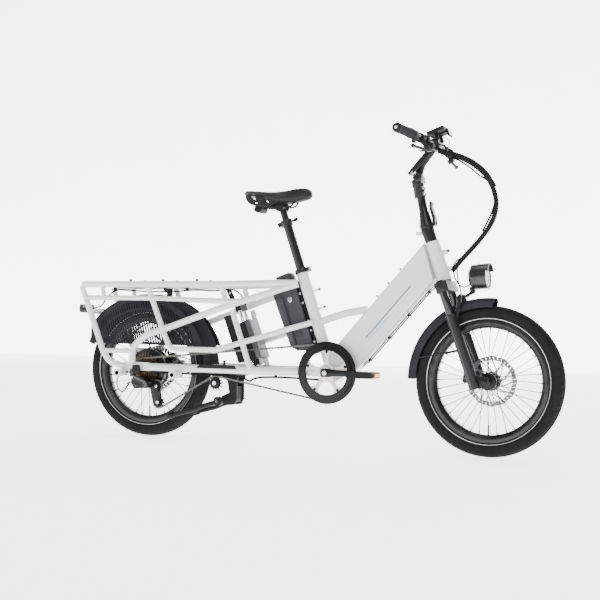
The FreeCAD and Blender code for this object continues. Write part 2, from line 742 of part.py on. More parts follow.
def tangent_loop(wheels, offset):
    """A closed chain line round wheels given as centre, radius and sense (+1 inside the loop, -1 outside)."""
    joins = []
    for (a, radius_a, sense_a), (b, radius_b, sense_b) in zip(wheels, wheels[1:] + wheels[:1]):
        r_a = (radius_a + sense_a * offset) * sense_a
        r_b = (radius_b + sense_b * offset) * sense_b
        span = b - a
        heading = math.atan2(span.z, span.x)
        lean = math.asin((r_a - r_b) / span.Length)
        normal = heading + math.pi / 2 - lean
        out = Vector(math.cos(normal), 0, math.sin(normal))
        joins.append((a + out * r_a, b + out * r_b, normal))
    edges = []
    for i, (start, end, normal) in enumerate(joins):
        edges.append(Part.makeLine(start, end))
        centre, radius, sense = wheels[(i + 1) % len(wheels)]
        next_start, _, next_normal = joins[(i + 1) % len(wheels)]
        turn = next_normal - normal
        while sense > 0 and turn > 0:
            turn -= 2 * math.pi
        while sense < 0 and turn < 0:
            turn += 2 * math.pi
        middle = normal + turn / 2
        r = (radius + sense * offset) * sense
        half_way = centre + Vector(math.cos(middle), 0, math.sin(middle)) * r
        edges.append(Part.Arc(end, half_way, next_start).toShape())
    return Part.Wire(edges)


def chain_wheels():
    """The wheels the chain passes, in order from the chainring: clockwise ones are inside its loop."""
    s = Sizes
    places = [(BRACKET, s.ring_teeth, 1), (IDLER, s.idler_teeth, -1), (TENSION_PULLEY, s.jockey_teeth, 1),
              (GUIDE_PULLEY, s.jockey_teeth, -1), ((0, s.wheel_radius), s.driven_teeth, 1)]
    return [(at(x, 0, z), pitch_radius(teeth), sense) for (x, z), teeth, sense in places]


def make_chain():
    """The chain as its two rows of side plates, joined by pins on the runs between the wheels."""
    s = Sizes
    wheels = chain_wheels()
    half = s.chain_plate_height / 2
    face = Part.Face([tangent_loop(wheels, half), tangent_loop(wheels, -half)])
    face.validate()
    rows = []
    for side in (CHAIN_LINE - 3.0, CHAIN_LINE + 3.0 - s.chain_plate):
        row = doc.addObject("Part::Feature", unique("chain_row"))
        flat = face.copy()
        flat.translate(Vector(0, side, 0))
        row.Shape = flat.extrude(Vector(0, float(s.chain_plate), 0))
        rows.append(row)
    pins = []
    for start, end in ((at(40, 0, 309.5), at(735, 0, 377.6)), (at(372, 0, 237.5), at(735, 0, 183))):
        for i in range(5):
            spot = start + (end - start) * ((i + 0.5) / 5)
            pins.append(cylinder("chain_pin", 1.8, 5, spot + Vector(0, CHAIN_LINE - 2.5, 0)))
    return sub_part("chain", fuse(*rows, *pins))


def make_rear_derailleur():
    """Hanger, body and cage of the rear derailleur, with the pulley axles and the idler's mounting."""
    s = Sizes
    knuckle = cylinder("hanger_knuckle", 12, 32, at(-24, -104, 252))
    hanger = plate("hanger", [(-14, 10), (14, 10), (12, -18), (-12, -18)], 6, flat_frame(-24, 252), -94)
    body = plate("derailleur_body", [(-40, -10), (-24, -34), (26, -30), (34, -6), (12, 12), (-30, 14)], 24,
                 flat_frame(10, 222), -88)
    knuckle_low = cylinder("cage_knuckle", 15, 38, at(34, -98, 206))
    cage_outline = [(-24, 12), (10, 14), (20, -62), (10, -80), (-8, -78), (-24, -20)]
    outer = plate("cage_outer", cage_outline, 2.4, flat_frame(60, 200), CHAIN_LINE - 8)
    inner = plate("cage_inner", cage_outline, 2.4, flat_frame(60, 200), CHAIN_LINE + 8)
    axles = [cylinder("pulley_axle", 3, 22, at(x, CHAIN_LINE - 10.5, z)) for x, z in
             (GUIDE_PULLEY, TENSION_PULLEY)]
    motor_room = cylinder("motor_room", 30, 44, at(0, -76, s.wheel_radius))
    boss = cylinder("idler_axle", 5, 26, at(IDLER[0], CHAIN_LINE - 9, IDLER[1]))
    cap = cylinder("idler_cap", 12, 3, at(IDLER[0], CHAIN_LINE - 9, IDLER[1]))
    arm = plate("idler_arm", [(-9, -8), (9, -8), (12, 42), (-12, 42)], 8, flat_frame(IDLER[0], IDLER[1]),
                CHAIN_LINE + 12.5)
    stay = tube("stay_room", s.chainstay_radius, [at(*point) for point in mirrored_path(STAY_PATH)], 160)
    changer = cut(fuse(knuckle, hanger, body, knuckle_low, outer, inner, *axles), motor_room)
    bridge = box("idler_bridge", 26, 32, 9, flat_frame(0, 0), IDLER[0] - 13, -68, 253)
    return sub_part("rear_derailleur", gather(cut(changer, PARTS["chainstays"]),
                                              cut(fuse(boss, cap, arm, bridge), stay)))


def mirrored_path(path):
    return [(x, -y, z) for x, y, z in path]


# ------------------------------------------------------------------------------------------------------ wheels
def wheel(prefix, centre, flange_radius, flange_half, hub_profile, bore, rotor_side):
    """A spoked wheel: tyre, rim, spokes, hub and brake rotor."""
    s = Sizes
    r = s.wheel_radius
    w = s.tyre_half_width
    tyre = lathe(prefix + "_tyre_turned",
                 [(r - 52, -17), (r - 52, -22), (r - 40, -28), (r - 22, -w), (r - 9, -26), (r, -12), (r, 12),
                  (r - 9, 26), (r - 22, w), (r - 40, 28), (r - 52, 22), (r - 52, 17), (r - 44, 17),
                  (r - 22, w - 5), (r - 12, 20), (r - 7, 10), (r - 7, -10), (r - 12, -20),
                  (r - 22, 5 - w), (r - 44, -17)], centre)
    sub_part(prefix + "_tyre", tyre)
    inner = s.rim_inner_radius
    rim = lathe(prefix + "_rim_turned",
                [(inner, -9), (inner + 12, -s.rim_half_width - 3), (inner + 34, -s.rim_half_width - 3),
                 (inner + 34, -17), (inner + 27, -17), (inner + 20, -12), (inner + 14, -10),
                 (inner + 14, 10), (inner + 20, 12), (inner + 27, 17), (inner + 34, 17),
                 (inner + 34, s.rim_half_width + 3), (inner + 12, s.rim_half_width + 3), (inner, 9)], centre)
    sub_part(prefix + "_rim", cut(rim, tyre))
    spokes = []
    for i in range(36):
        side = 1 if i % 2 else -1
        angle = 2 * math.pi * i / 36
        lead = angle + (0.42 if i % 4 < 2 else -0.42) * (1 if flange_radius < 50 else 0.55)
        root = centre + Vector(math.cos(lead) * (flange_radius - 3), side * flange_half,
                               math.sin(lead) * (flange_radius - 3))
        tip = centre + Vector(math.cos(angle) * (inner + 4), side * 4, math.sin(angle) * (inner + 4))
        spokes.append(bar("spoke", s.spoke_radius, root, tip))
    room = ring("spoke_room", inner, flange_radius, 90, centre - Vector(0, 45, 0))
    valve = cylinder("valve", 3, 40, centre - UP * (inner + 3), UP)
    sub_part(prefix + "_spokes", common(gather(*spokes, valve), room))
    hub = lathe(prefix + "_hub_turned", hub_profile, centre)
    hub_bore = cylinder("hub_bore", bore, 140, centre - Vector(0, 70, 0))
    rotor = lathe(prefix + "_rotor_turned",
                  [(20, rotor_side), (s.rotor_radius, rotor_side),
                   (s.rotor_radius, rotor_side + s.rotor_thickness), (20, rotor_side + s.rotor_thickness)],
                  centre)
    windows = []
    for i in range(6):
        f = Placement(centre, Rotation(LEFT, 60 * i))
        windows.append(box("rotor_window", 34, 12, 30, f, 34, rotor_side - 4, -15))
    holes = []
    for i in range(30):
        angle = 2 * math.pi * i / 30
        reach = 77 + 4.5 * (i % 3)
        spot = centre + Vector(math.cos(angle) * reach, rotor_side - 4, math.sin(angle) * reach)
        holes.append(cylinder("rotor_hole", 2.6, 10, spot))
    sub_part(prefix + "_rotor", cut(rotor, gather(*windows), gather(*holes)))
    return cut(hub, hub_bore)


def make_rear_wheel():
    s = Sizes
    m = s.motor_radius
    half = s.motor_half_width
    profile = [(6, -half), (24, -half), (30, -half + 3), (m - 16, -half + 7), (m - 6, -24), (m, -24), (m, -12),
               (m - 4, -11), (m - 4, 11), (m, 12), (m, 24), (m - 6, 24), (m - 16, half - 7), (30, half - 3),
               (24, half), (24, 47), (6, 47)]
    hub = wheel("rear", REAR_AXLE, m, 18, profile, s.rear_axle_radius + s.running_gap, 47)
    return sub_part("hub_motor", hub)


def make_front_wheel():
    s = Sizes
    flange = s.front_flange_radius
    profile = [(5, -36), (14, -36), (16, -27), (flange, -26), (flange, -18), (17, -16), (17, 16),
               (flange, 18), (flange, 26), (24, 27), (24, 33.5), (18, 33.5), (18, 38), (5, 38)]
    hub = wheel("front", FRONT_AXLE, flange, 22, profile, s.front_axle_radius + s.running_gap, 33.5)
    return sub_part("front_hub", hub)


def make_rear_axle():
    """The rear axle with its nuts, washers and black end caps."""
    s = Sizes
    axle = cylinder("rear_axle_bar", s.rear_axle_radius, 222, REAR_AXLE - Vector(0, 111, 0))
    nut = cylinder("axle_nut", 12, 9, REAR_AXLE + Vector(0, -97, 0), -LEFT)
    spacer = cylinder("axle_spacer", 10, 12, REAR_AXLE + Vector(0, -83, 0))
    return sub_part("rear_axle", fuse(axle, nut, spacer, mirrored(nut), mirrored(spacer)))


def caliper(centre, frame, side, radius, cap_side):
    """A disc brake caliper that straddles a rotor, with its adjuster cap on one side."""
    f = Placement(centre, frame.Rotation)
    body = rounded_edges(centred_box("caliper_body", 44, 28, 38, f, 0, side, radius), 5, LEFT)
    gap = centred_box("caliper_gap", 60, 6, 33, f, 0, side, radius - 4.5)
    bolt = cylinder("caliper_cap", 9, 6, f.multVec(Vector(0, side + cap_side * 13.2 - 3, radius)))
    return cut(fuse(body, bolt), gap)


def make_rear_caliper():
    """The rear brake caliper on its bracket above the left chainstay."""
    s = Sizes
    body = caliper(REAR_AXLE, Placement(Vector(), Rotation(LEFT, 62)), 48, 82, 1)
    post = box("caliper_post", 20, 30, 30, flat_frame(0, 0), 82, 62, 270)
    stay = tube("stay_room", s.chainstay_radius, [at(x, -y, z) for x, y, z in STAY_PATH], 160)
    return sub_part("rear_caliper", cut(fuse(body, post), stay))


# -------------------------------------------------------------------------------------------------------- fork
def make_fork_crown():
    """Steerer, crown, stanchions and the handlepost's lower half, which turn together."""
    s = Sizes
    f = HEAD_FRAME
    up = in_axis(f)
    steerer = cylinder("steerer", s.steerer_radius, s.head_tube_length + 44, in_frame(f, 0, 0, -20), up)
    crown = rounded_edges(centred_box("crown", 46, 148, 38, f, -2, 0, -24), 12, up)
    race = cylinder("crown_race", 24, 5.4, in_frame(f, 0, 0, -6), up)
    stanchions = [cylinder("stanchion", s.stanchion_radius, 176, in_frame(f, -4, y, -186), up)
                  for y in (-s.fork_leg_spacing, s.fork_leg_spacing)]
    caps = [cylinder("crown_cap", 13, 6, in_frame(f, -4, y, -6), up)
            for y in (-s.fork_leg_spacing, s.fork_leg_spacing)]
    top = in_frame(f, 0, 0, s.head_tube_length + 1.4)
    seam = at(POST_SEAM[0], 0, POST_SEAM[1])
    base = cone("post_base", 22, 24, top, seam - in_axis(POST_FRAME) * 0.4)
    seam_room = centred_box("seam_room", 120, 120, 60, POST_FRAME, 0, 0, 29.6)
    knob = cylinder("safety_knob", 6, 24, in_frame(POST_FRAME, -42, 0, -10), FORWARD)
    arms = [box("hinge_arm", 10, 19, 12, POST_FRAME, x, 8, -13) for x in (-26, -6)]
    knuckles = [fold_knuckle(x, 10, FOLD_KNUCKLE) for x in (-26, -6)]
    below = cut(fuse(steerer, crown, race, *stanchions, *caps, base, *arms, knob), seam_room,
                fold_knuckle(-16, 10, FOLD_KNUCKLE + 0.5))
    return sub_part("fork_crown", fuse(below, *knuckles, fold_knuckle(-26, 30, FOLD_PIN)))


FOLD_KNUCKLE = 6.0
FOLD_PIN = 3.0


def fold_knuckle(start, length, radius):
    """A round piece on the folding post's hinge line, which runs fore and aft at the seam's left edge."""
    return cylinder("fold_knuckle", radius, length, in_frame(POST_FRAME, start, 27, 0),
                    POST_FRAME.Rotation.multVec(FORWARD))


def make_fork_lowers():
    """Lower fork legs with their front arch, dropouts and the front axle."""
    s = Sizes
    f = HEAD_FRAME
    up = in_axis(f)
    legs = []
    bores = []
    for side in (-1, 1):
        y = side * s.fork_leg_spacing
        legs.append(cylinder("fork_leg", s.fork_leg_radius, 266, in_frame(f, -4, y, -398), up))
        legs.append(cylinder("leg_seal", s.fork_leg_radius + 1.5, 9, in_frame(f, -4, y, -136), up))
        legs.append(plate("dropout", [(-6, -398), (-6, -350), (22, -356), (50, -374), (50, -396),
                                      (38, -402)], 10, f, side * 56))
        bores.append(cylinder("leg_bore", s.stanchion_radius + s.running_gap, 240, in_frame(f, -4, y, -366),
                              up))
    arch = tube("fork_arch", s.arch_radius, [in_frame(f, 6, -54, -150), in_frame(f, 34, -50, -104),
                                             in_frame(f, 40, -28, -70), in_frame(f, 40, 28, -70),
                                             in_frame(f, 34, 50, -104), in_frame(f, 6, 54, -150)],
                [30, 26, 26, 30])
    axle = cylinder("front_axle", s.front_axle_radius, 150, FRONT_AXLE - Vector(0, 75, 0))
    nuts = [cylinder("front_nut", 11, 8, FRONT_AXLE + Vector(0, y, 0)) for y in (-69.5, 61.5)]
    spacers = [cylinder("front_spacer", 9, 14, FRONT_AXLE + Vector(0, -52, 0)),
               cylinder("front_spacer", 9, 13, FRONT_AXLE + Vector(0, 39, 0))]
    mount = box("caliper_mount", 20, 12, 70, f, -34, 48, -372)
    legs_and_arch = cut(fuse(*legs, arch, mount), *bores)
    return sub_part("fork_lowers", fuse(legs_and_arch, axle, *nuts, *spacers, lamp_bracket()))


def make_front_fender():
    """The front fender with its wire stay and the bracket to the fork arch."""
    s = Sizes
    arc = lathe("front_fender_arc", fender_profile(s.front_fender_radius, 34), FRONT_AXLE, angle=94.0,
                turn=-180.0)
    strap = box("front_strap", 12, 26, 34, HEAD_FRAME, 34, -13, -104)
    stays = [tube("fender_wire", 2.2, [in_frame(HEAD_FRAME, -20, 56 * side, -250), at(1160, 44 * side, 350),
                                       at(1087, 30 * side, 335)], 40) for side in (-1, 1)]
    arch = PARTS["fork_lowers"]
    return sub_part("front_fender", cut(fuse(arc, strap, *stays), arch))


def make_front_caliper():
    """The front brake caliper behind the left fork leg."""
    f = Placement(Vector(), Rotation(LEFT, -20 - 62))
    body = caliper(FRONT_AXLE, f, 34.5, 82, -1)
    return sub_part("front_caliper", cut(body, PARTS["fork_lowers"]))


HEADLIGHT = (1322.0, 630.0)
LAMP_PIVOT = (1298.0, 578.0)


def make_headlight():
    """Headlight drum, visor, lens and bracket knuckle."""
    s = Sizes
    f = Placement(at(HEADLIGHT[0], 0, HEADLIGHT[1]), Rotation(LEFT, -4))
    forward = f.Rotation.multVec(FORWARD)
    r = s.headlight_radius
    drum = cylinder("lamp_drum", r, 50, in_frame(f, -24, 0, 0), forward)
    back = cone("lamp_back", r * 0.72, r, in_frame(f, -34, 0, 0), in_frame(f, -24, 0, 0))
    bowl = cylinder("lamp_bowl", r - 4, 26, in_frame(f, 2, 0, 0), forward)
    visor_ring = ring("lamp_visor", r + 2.5, r, 42, in_frame(f, -2, 0, 0), forward)
    visor = common(visor_ring, box("visor_keep", 60, 110, 40, f, -4, -55, 18))
    lens = cylinder("lamp_lens", r - 4, 5, in_frame(f, 22, 0, 0), forward)
    foot = plate("lamp_foot", [(-8, -4), (8, -4), (10, 16), (-14, 16)], 10, flat_frame(*LAMP_PIVOT), 0)
    knuckle = cylinder("lamp_knuckle", 9, 10, at(LAMP_PIVOT[0], -5, LAMP_PIVOT[1]))
    bore = cylinder("lamp_bore", 3 + s.running_gap, 30, at(LAMP_PIVOT[0], -15, LAMP_PIVOT[1]))
    housing = cut(fuse(drum, back), bowl)
    body = cut(fuse(housing, visor, foot, knuckle), bore, bowl)
    return sub_part("headlight", gather(body, lens))


def lamp_bracket():
    """The fork's two-cheeked bracket for the headlight, with its bolt."""
    cheeks = [tube("lamp_strut", 4, [in_frame(HEAD_FRAME, 46, y, -72), at(1276, y, 562),
                                     at(LAMP_PIVOT[0], y, LAMP_PIVOT[1])], 8) for y in (-10, 10)]
    bolt = cylinder("lamp_bolt", 3, 30, at(LAMP_PIVOT[0], -15, LAMP_PIVOT[1]))
    return fuse(*cheeks, bolt)


# ----------------------------------------------------------------------------------------------------- cockpit
def make_handlepost():
    """The folding post above the seam, with its front latch lugs and the stem's lower sleeve."""
    s = Sizes
    f = POST_FRAME
    up = in_axis(f)
    seam = at(POST_SEAM[0], 0, POST_SEAM[1])
    collar = cylinder("post_collar", 25, 14, seam, up)
    low = cone("post_low", 24, 17, in_frame(f, 0, 0, 12), in_frame(f, 0, 0, 60))
    top = at(1092, 0, 955)
    mid = cylinder("post_tube", 15.5, (top - seam).Length, seam, top - seam)
    sleeve = cylinder("stem_sleeve", 20, 62, at(1098, 0, 913), at(1088, 0, 973) - at(1098, 0, 913))
    ear = cylinder("stem_ear", 17, 10, at(STEM_PIVOT[0], -22, STEM_PIVOT[1]))
    other = cylinder("stem_ear", 17, 10, at(STEM_PIVOT[0], 12, STEM_PIVOT[1]))
    yoke = box("stem_yoke", 30, 44, 28, Placement(at(1089, 0, 955), Rotation(LEFT, -8)), -15, -22, -6)
    bolts = [cylinder("sleeve_bolt", 5, 18, at(1108 + 2 * i, -9, 970 - 22 * i)) for i in range(3)]
    lugs = [cylinder("bolt_lug", 5, 14, at(1100 + 2 * i, 0, 970 - 22 * i), FORWARD) for i in range(3)]
    fold_arm = box("fold_arm", 9.2, 19, 9, f, -15.6, 8, 0.6)
    latch_lug = box("latch_lug", 16, 14, 12, f, 18, -7, 2)
    latch_pin = cylinder("latch_pin", 3, 26, in_frame(f, 30, -13, 8))
    swing = cylinder("swing_room", 20.6, 24, at(STEM_PIVOT[0], -12, STEM_PIVOT[1]))
    post = fuse(cut(fuse(collar, low), *[fold_knuckle(x, 10.8, FOLD_KNUCKLE + 0.5) for x in (-26.4, -6.4)]),
                fold_arm, fold_knuckle(-15.6, 9.2, FOLD_KNUCKLE))
    thing = fuse(cut(post, fold_knuckle(-40, 60, FOLD_PIN + s.running_gap)), mid, sleeve, yoke, *bolts, *lugs,
                 latch_lug, latch_pin)
    pin = cylinder("stem_pin", 6, 44, at(STEM_PIVOT[0], -22, STEM_PIVOT[1]))
    return sub_part("handlepost", fuse(cut(thing, swing), ear, other, pin))


def make_post_latch():
    """The cam lever on the front of the handlepost."""
    s = Sizes
    f = POST_FRAME
    barrel = cylinder("latch_barrel", 6, 8, in_frame(f, 30, 8, 8))
    other = cylinder("latch_barrel", 6, 8, in_frame(f, 30, -16, 8))
    blade = plate("latch_blade", [(28, 14), (37, 10), (39, 30), (33, 70), (38, 88), (30, 92), (26, 64),
                                  (29, 30)], 32, f, 0)
    room = cylinder("lug_room", 12, 15.2, in_frame(f, 30, -7.6, 8))
    bore = cylinder("latch_bore", 3 + s.running_gap, 60, in_frame(f, 30, -30, 8))
    return sub_part("post_latch", cut(fuse(barrel, other, blade), room, bore))


def make_stem_arm():
    """The curved arm from the stem's pivot to the handlebar clamp."""
    s = Sizes
    centre = at(BAR_CENTRE[0], 0, BAR_CENTRE[1])
    hub = cylinder("stem_hub", 17, 22, at(STEM_PIVOT[0], -11, STEM_PIVOT[1]))
    arm = tube("stem_curve", s.stem_arm_radius * 0.85, [at(STEM_PIVOT[0], 0, STEM_PIVOT[1]),
                                                        at(1103, 0, 1030), at(1146, 0, 1086)], 60)
    clamp = cylinder("bar_clamp", 21, 44, centre - Vector(0, 22, 0))
    bore = cylinder("clamp_bore", 15.9, 60, centre - Vector(0, 30, 0))
    pin_bore = cylinder("pivot_bore", 6 + s.running_gap, 60, at(STEM_PIVOT[0], -30, STEM_PIVOT[1]))
    lug = cylinder("lever_pin", 4, 44, at(1124, -22, 1068))
    boss = box("lever_boss", 14, 16, 18, Placement(at(1124, 0, 1068), Rotation(LEFT, 35)), -6, -8, -12)
    return sub_part("stem_arm", cut(fuse(hub, arm, clamp, lug, boss), bore, pin_bore))


def make_stem_lever():
    """The broad locking lever behind the stem arm."""
    s = Sizes
    f = Placement(at(1124, 0, 1068), Rotation(LEFT, 220))
    cheeks = [plate("lever_cheek", [(-10, -9), (8, -9), (10, 70), (-6, 84), (-12, 60)], 4, f, y)
              for y in (-18.5, 18.5)]
    back = plate("lever_back", [(4, 26), (10, 26), (10, 96), (2, 98)], 41, f, 0)
    bore = cylinder("lever_bore", 4 + s.running_gap, 60, at(1124, -30, 1068))
    return sub_part("stem_lever", cut(fuse(*cheeks, back), bore))


BAR_PATH = [(1151, 0, 1099), (1151, -62, 1099), (1139, -190, 1105), (1119, -333, 1110)]


def make_handlebar():
    """The swept handlebar with its thicker clamping centre."""
    s = Sizes
    half = tube("bar_half", s.bar_radius, [at(*point) for point in BAR_PATH], 90)
    middle = cylinder("bar_middle", 15.9, 80, at(BAR_CENTRE[0], -40, BAR_CENTRE[1]))
    return sub_part("handlebar", fuse(half, mirrored(half), middle))


def along_bar(offset):
    """A point on the right half of the bar at an offset to the right of the middle, and the bar's direction."""
    for (x1, y1, z1), (x2, y2, z2) in zip(BAR_PATH[1:], BAR_PATH[2:]):
        if y2 <= -offset <= y1:
            part = (-offset - y1) / (y2 - y1)
            return at(x1 + (x2 - x1) * part, -offset, z1 + (z2 - z1) * part), Vector(x2 - x1, y2 - y1, z2 - z1)
    return at(*BAR_PATH[-1]), Vector(0, -1, 0)


def bar_ring(name, outer, inner, offset, length):
    base, way = along_bar(offset)
    return ring(name, outer, inner, length, base, way)


def make_grips():
    """Both rubber grips with their end plugs."""
    s = Sizes
    grip = bar_ring("grip", s.grip_radius, s.bar_radius, 232, 104)
    end = at(*BAR_PATH[-1])
    plug = cylinder("grip_plug", s.grip_radius - 1, 7, end, end - at(*BAR_PATH[-2]))
    right = fuse(grip, plug)
    return sub_part("grips", gather(right, mirrored(right)))


def make_cockpit_controls():
    """Brake perches, display, bell, reflector and shifter body on the handlebar."""
    s = Sizes
    perch = bar_ring("perch", 17, s.bar_radius, 138, 22)
    perch_arm = bar("perch_arm", 8, at(1148, -148, 1097), at(1168, -150, 1066))
    fork_ears = [cylinder("perch_ear", 8, 5, at(1166, -150, 1064) + LEVER_AXIS * side, LEVER_AXIS * side)
                 for side in (-6.5, 6.5)]
    pivot = cylinder("perch_pin", 2.5, 22, at(1166, -150, 1064) - LEVER_AXIS * 11, LEVER_AXIS)
    room, way = along_bar(130)
    bar_space = cylinder("bar_space", s.bar_radius, 60, room, way)
    right = cut(fuse(perch, perch_arm), bar_space, cylinder("lever_room", 10, 12, at(1166, -150, 1064)
                                                            - LEVER_AXIS * 6, LEVER_AXIS))
    right = fuse(right, *fork_ears, pivot)
    display_frame = Placement(at(1160, 0, 1140), Rotation(LEFT, -20))
    display = rounded_edges(centred_box("display", 66, 104, 12, display_frame, 4, 0, 4), 8,
                            in_axis(display_frame))
    mount = [ring("display_clamp", 20, 15.9, 8, at(BAR_CENTRE[0], y, BAR_CENTRE[1])) for y in (24, -32)]
    legs = [box("display_leg", 12, 8, 30, display_frame, -6, y, -28) for y in (24, -32)]
    reflector = centred_box("front_reflector", 6, 46, 26, display_frame, 40, 0, -12)
    reflector_arm = centred_box("reflector_arm", 40, 10, 4, display_frame, 20, 0, -4)
    middle = cylinder("middle_space", 15.9, 100, at(BAR_CENTRE[0], -50, BAR_CENTRE[1]))
    top = cut(fuse(display, *mount, *legs, reflector, reflector_arm), middle)
    shifter = bar_ring("shifter_clamp", 18, s.bar_radius, 100, 20)
    pod = rounded_edges(centred_box("shifter_pod", 36, 34, 20, flat_frame(1162, 1078), 0, -109, 0), 5, UP)
    pod = cut(fuse(shifter, pod), bar_space_at(90))
    pad = bar_ring("keypad", 17, s.bar_radius, 100, 26)
    return sub_part("cockpit_controls", gather(right, mirrored(right), top, pod, mirrored(pad)))


def bar_space_at(offset):
    base, way = along_bar(offset)
    return cylinder("bar_space", Sizes.bar_radius, 60, base, way)


LEVER_AXIS = Vector(-0.888, 0, -0.460)


def brake_lever():
    """The right brake lever; the left one is its mirror image."""
    s = Sizes
    pivot = at(1166, -150, 1064)
    blade = tube("lever_blade", 5.2, [pivot, at(1164, -176, 1060), at(1154, -268, 1058)], 30)
    tip = sphere("lever_tip", 7.5, at(1154, -268, 1058))
    hub = cylinder("lever_hub", 8, 12, pivot - LEVER_AXIS * 6, LEVER_AXIS)
    bore = cylinder("lever_pin_bore", 2.5 + s.running_gap, 40, pivot - LEVER_AXIS * 20, LEVER_AXIS)
    return cut(fuse(blade, tip, hub), bore)


def make_throttle():
    """The thumb throttle collar and paddle between the right grip and the brake."""
    s = Sizes
    collar = bar_ring("throttle_collar", 17, s.bar_radius + s.running_gap, 196, 30)
    paddle = box("throttle_paddle", 10, 20, 22, flat_frame(0, 0), 1132, -218, 1078)
    return sub_part("throttle", cut(fuse(collar, paddle), bar_room(196, 30)))


def bar_room(offset, length):
    base, way = along_bar(offset)
    return cylinder("bar_room", Sizes.bar_radius + Sizes.running_gap, length + 20, base - way.normalize() * 10,
                    way)


def make_shifter_lever():
    """The thumb paddle of the gear shifter, under its pod."""
    hub = cylinder("shift_hub", 9, 5, at(1162, -109, 1062), UP)
    paddle = rounded_edges(box("shift_paddle", 34, 14, 4, flat_frame(0, 0), 1126, -116, 1062.5), 2, UP)
    return sub_part("shifter_lever", fuse(hub, paddle))


# -------------------------------------------------------------------------------------------------------- seat
def make_seat_collar():
    s = Sizes
    f = SEAT_FRAME
    band = ring("collar_band", s.collar_radius, s.seat_tube_radius, s.collar_height,
                in_frame(f, 0, 0, -s.collar_height), in_axis(f))
    ears = box("collar_ears", 12, 20, 14, f, 22, -10, -16)
    slit = box("collar_slit", 20, 3, 30, f, 20, -1.5, -25)
    bolt = cylinder("collar_bolt", 3, 30, in_frame(f, 29, -12, -9))
    tube_room = cylinder("tube_room", s.seat_tube_radius, 40, in_frame(f, 0, 0, -30), in_axis(f))
    return sub_part("seat_collar", fuse(cut(fuse(band, ears), slit, tube_room), bolt, clamp_pin(-9, 1)))


def clamp_lever(name, low, way):
    """A quick-release lever on the left of a seat clamp, its bolt in front of the tube (+1) or behind (-1)."""
    s = Sizes
    f = SEAT_FRAME
    cheeks = [cylinder("lever_cheek", 6.5, 3.5, in_frame(f, 29 * way, 17, z), in_axis(f))
              for z in (low - 7, low + 3.5)]
    bridge = centred_box("lever_bridge", 4.5, 9, 14, f, (29 - 6) * way, 19, low)
    blade = tube("lever_blade", 4, [in_frame(f, 22.5 * way, 20, low), in_frame(f, 10 * way, 32, low + 3),
                                    in_frame(f, -34 * way, 34, low + 6)], 8)
    room = cylinder("bolt_sweep", 3.7, 7, in_frame(f, 29 * way, 17, low - 3.5), in_axis(f))
    bore = cylinder("lever_bore", CLAMP_PIN + s.running_gap, 20, in_frame(f, 29 * way, 17, low - 10), in_axis(f))
    return sub_part(name, cut(fuse(*cheeks, bridge, blade), room, bore))


CLAMP_PIN = 2.5


def clamp_pin(low, way):
    """The cross pin at the left end of a clamp bolt, which its lever turns on."""
    return cylinder("clamp_pin", CLAMP_PIN, 14, in_frame(SEAT_FRAME, 29 * way, 17, low - 7), in_axis(SEAT_FRAME))


UPPER_CLAMP = 190.0


def make_seatposts():
    s = Sizes
    f = SEAT_FRAME
    up = in_axis(f)
    outer = ring("outer_post", s.outer_post_radius, s.inner_post_radius + s.running_gap, 400,
                 in_frame(f, 0, 0, UPPER_CLAMP - 400), up)
    collar = ring("upper_collar", 21, s.outer_post_radius - 1, 24, in_frame(f, 0, 0, UPPER_CLAMP - 18), up)
    ears = box("upper_ears", 16, 20, 16, f, -34, -10, UPPER_CLAMP - 12)
    slit = box("upper_slit", 24, 3, 40, f, -44, -1.5, UPPER_CLAMP - 25)
    bore = cylinder("upper_bore", s.inner_post_radius + s.running_gap, 60, in_frame(f, 0, 0, UPPER_CLAMP - 30),
                    up)
    bolt = cylinder("upper_bolt", 3, 30, in_frame(f, -29, -12, UPPER_CLAMP - 4))
    sub_part("seatpost_outer", fuse(cut(fuse(outer, collar, ears), slit, bore), bolt,
                                    clamp_pin(UPPER_CLAMP - 4, -1)))
    inner = cylinder("inner_post", s.inner_post_radius, 330, in_frame(f, 0, 0, -90), up)
    head = cylinder("post_head", 13, 30, saddle_pivot(-15))
    return sub_part("seatpost_inner", fuse(inner, head))


def saddle_pivot(y):
    return in_frame(SEAT_FRAME, 0, y, 248)


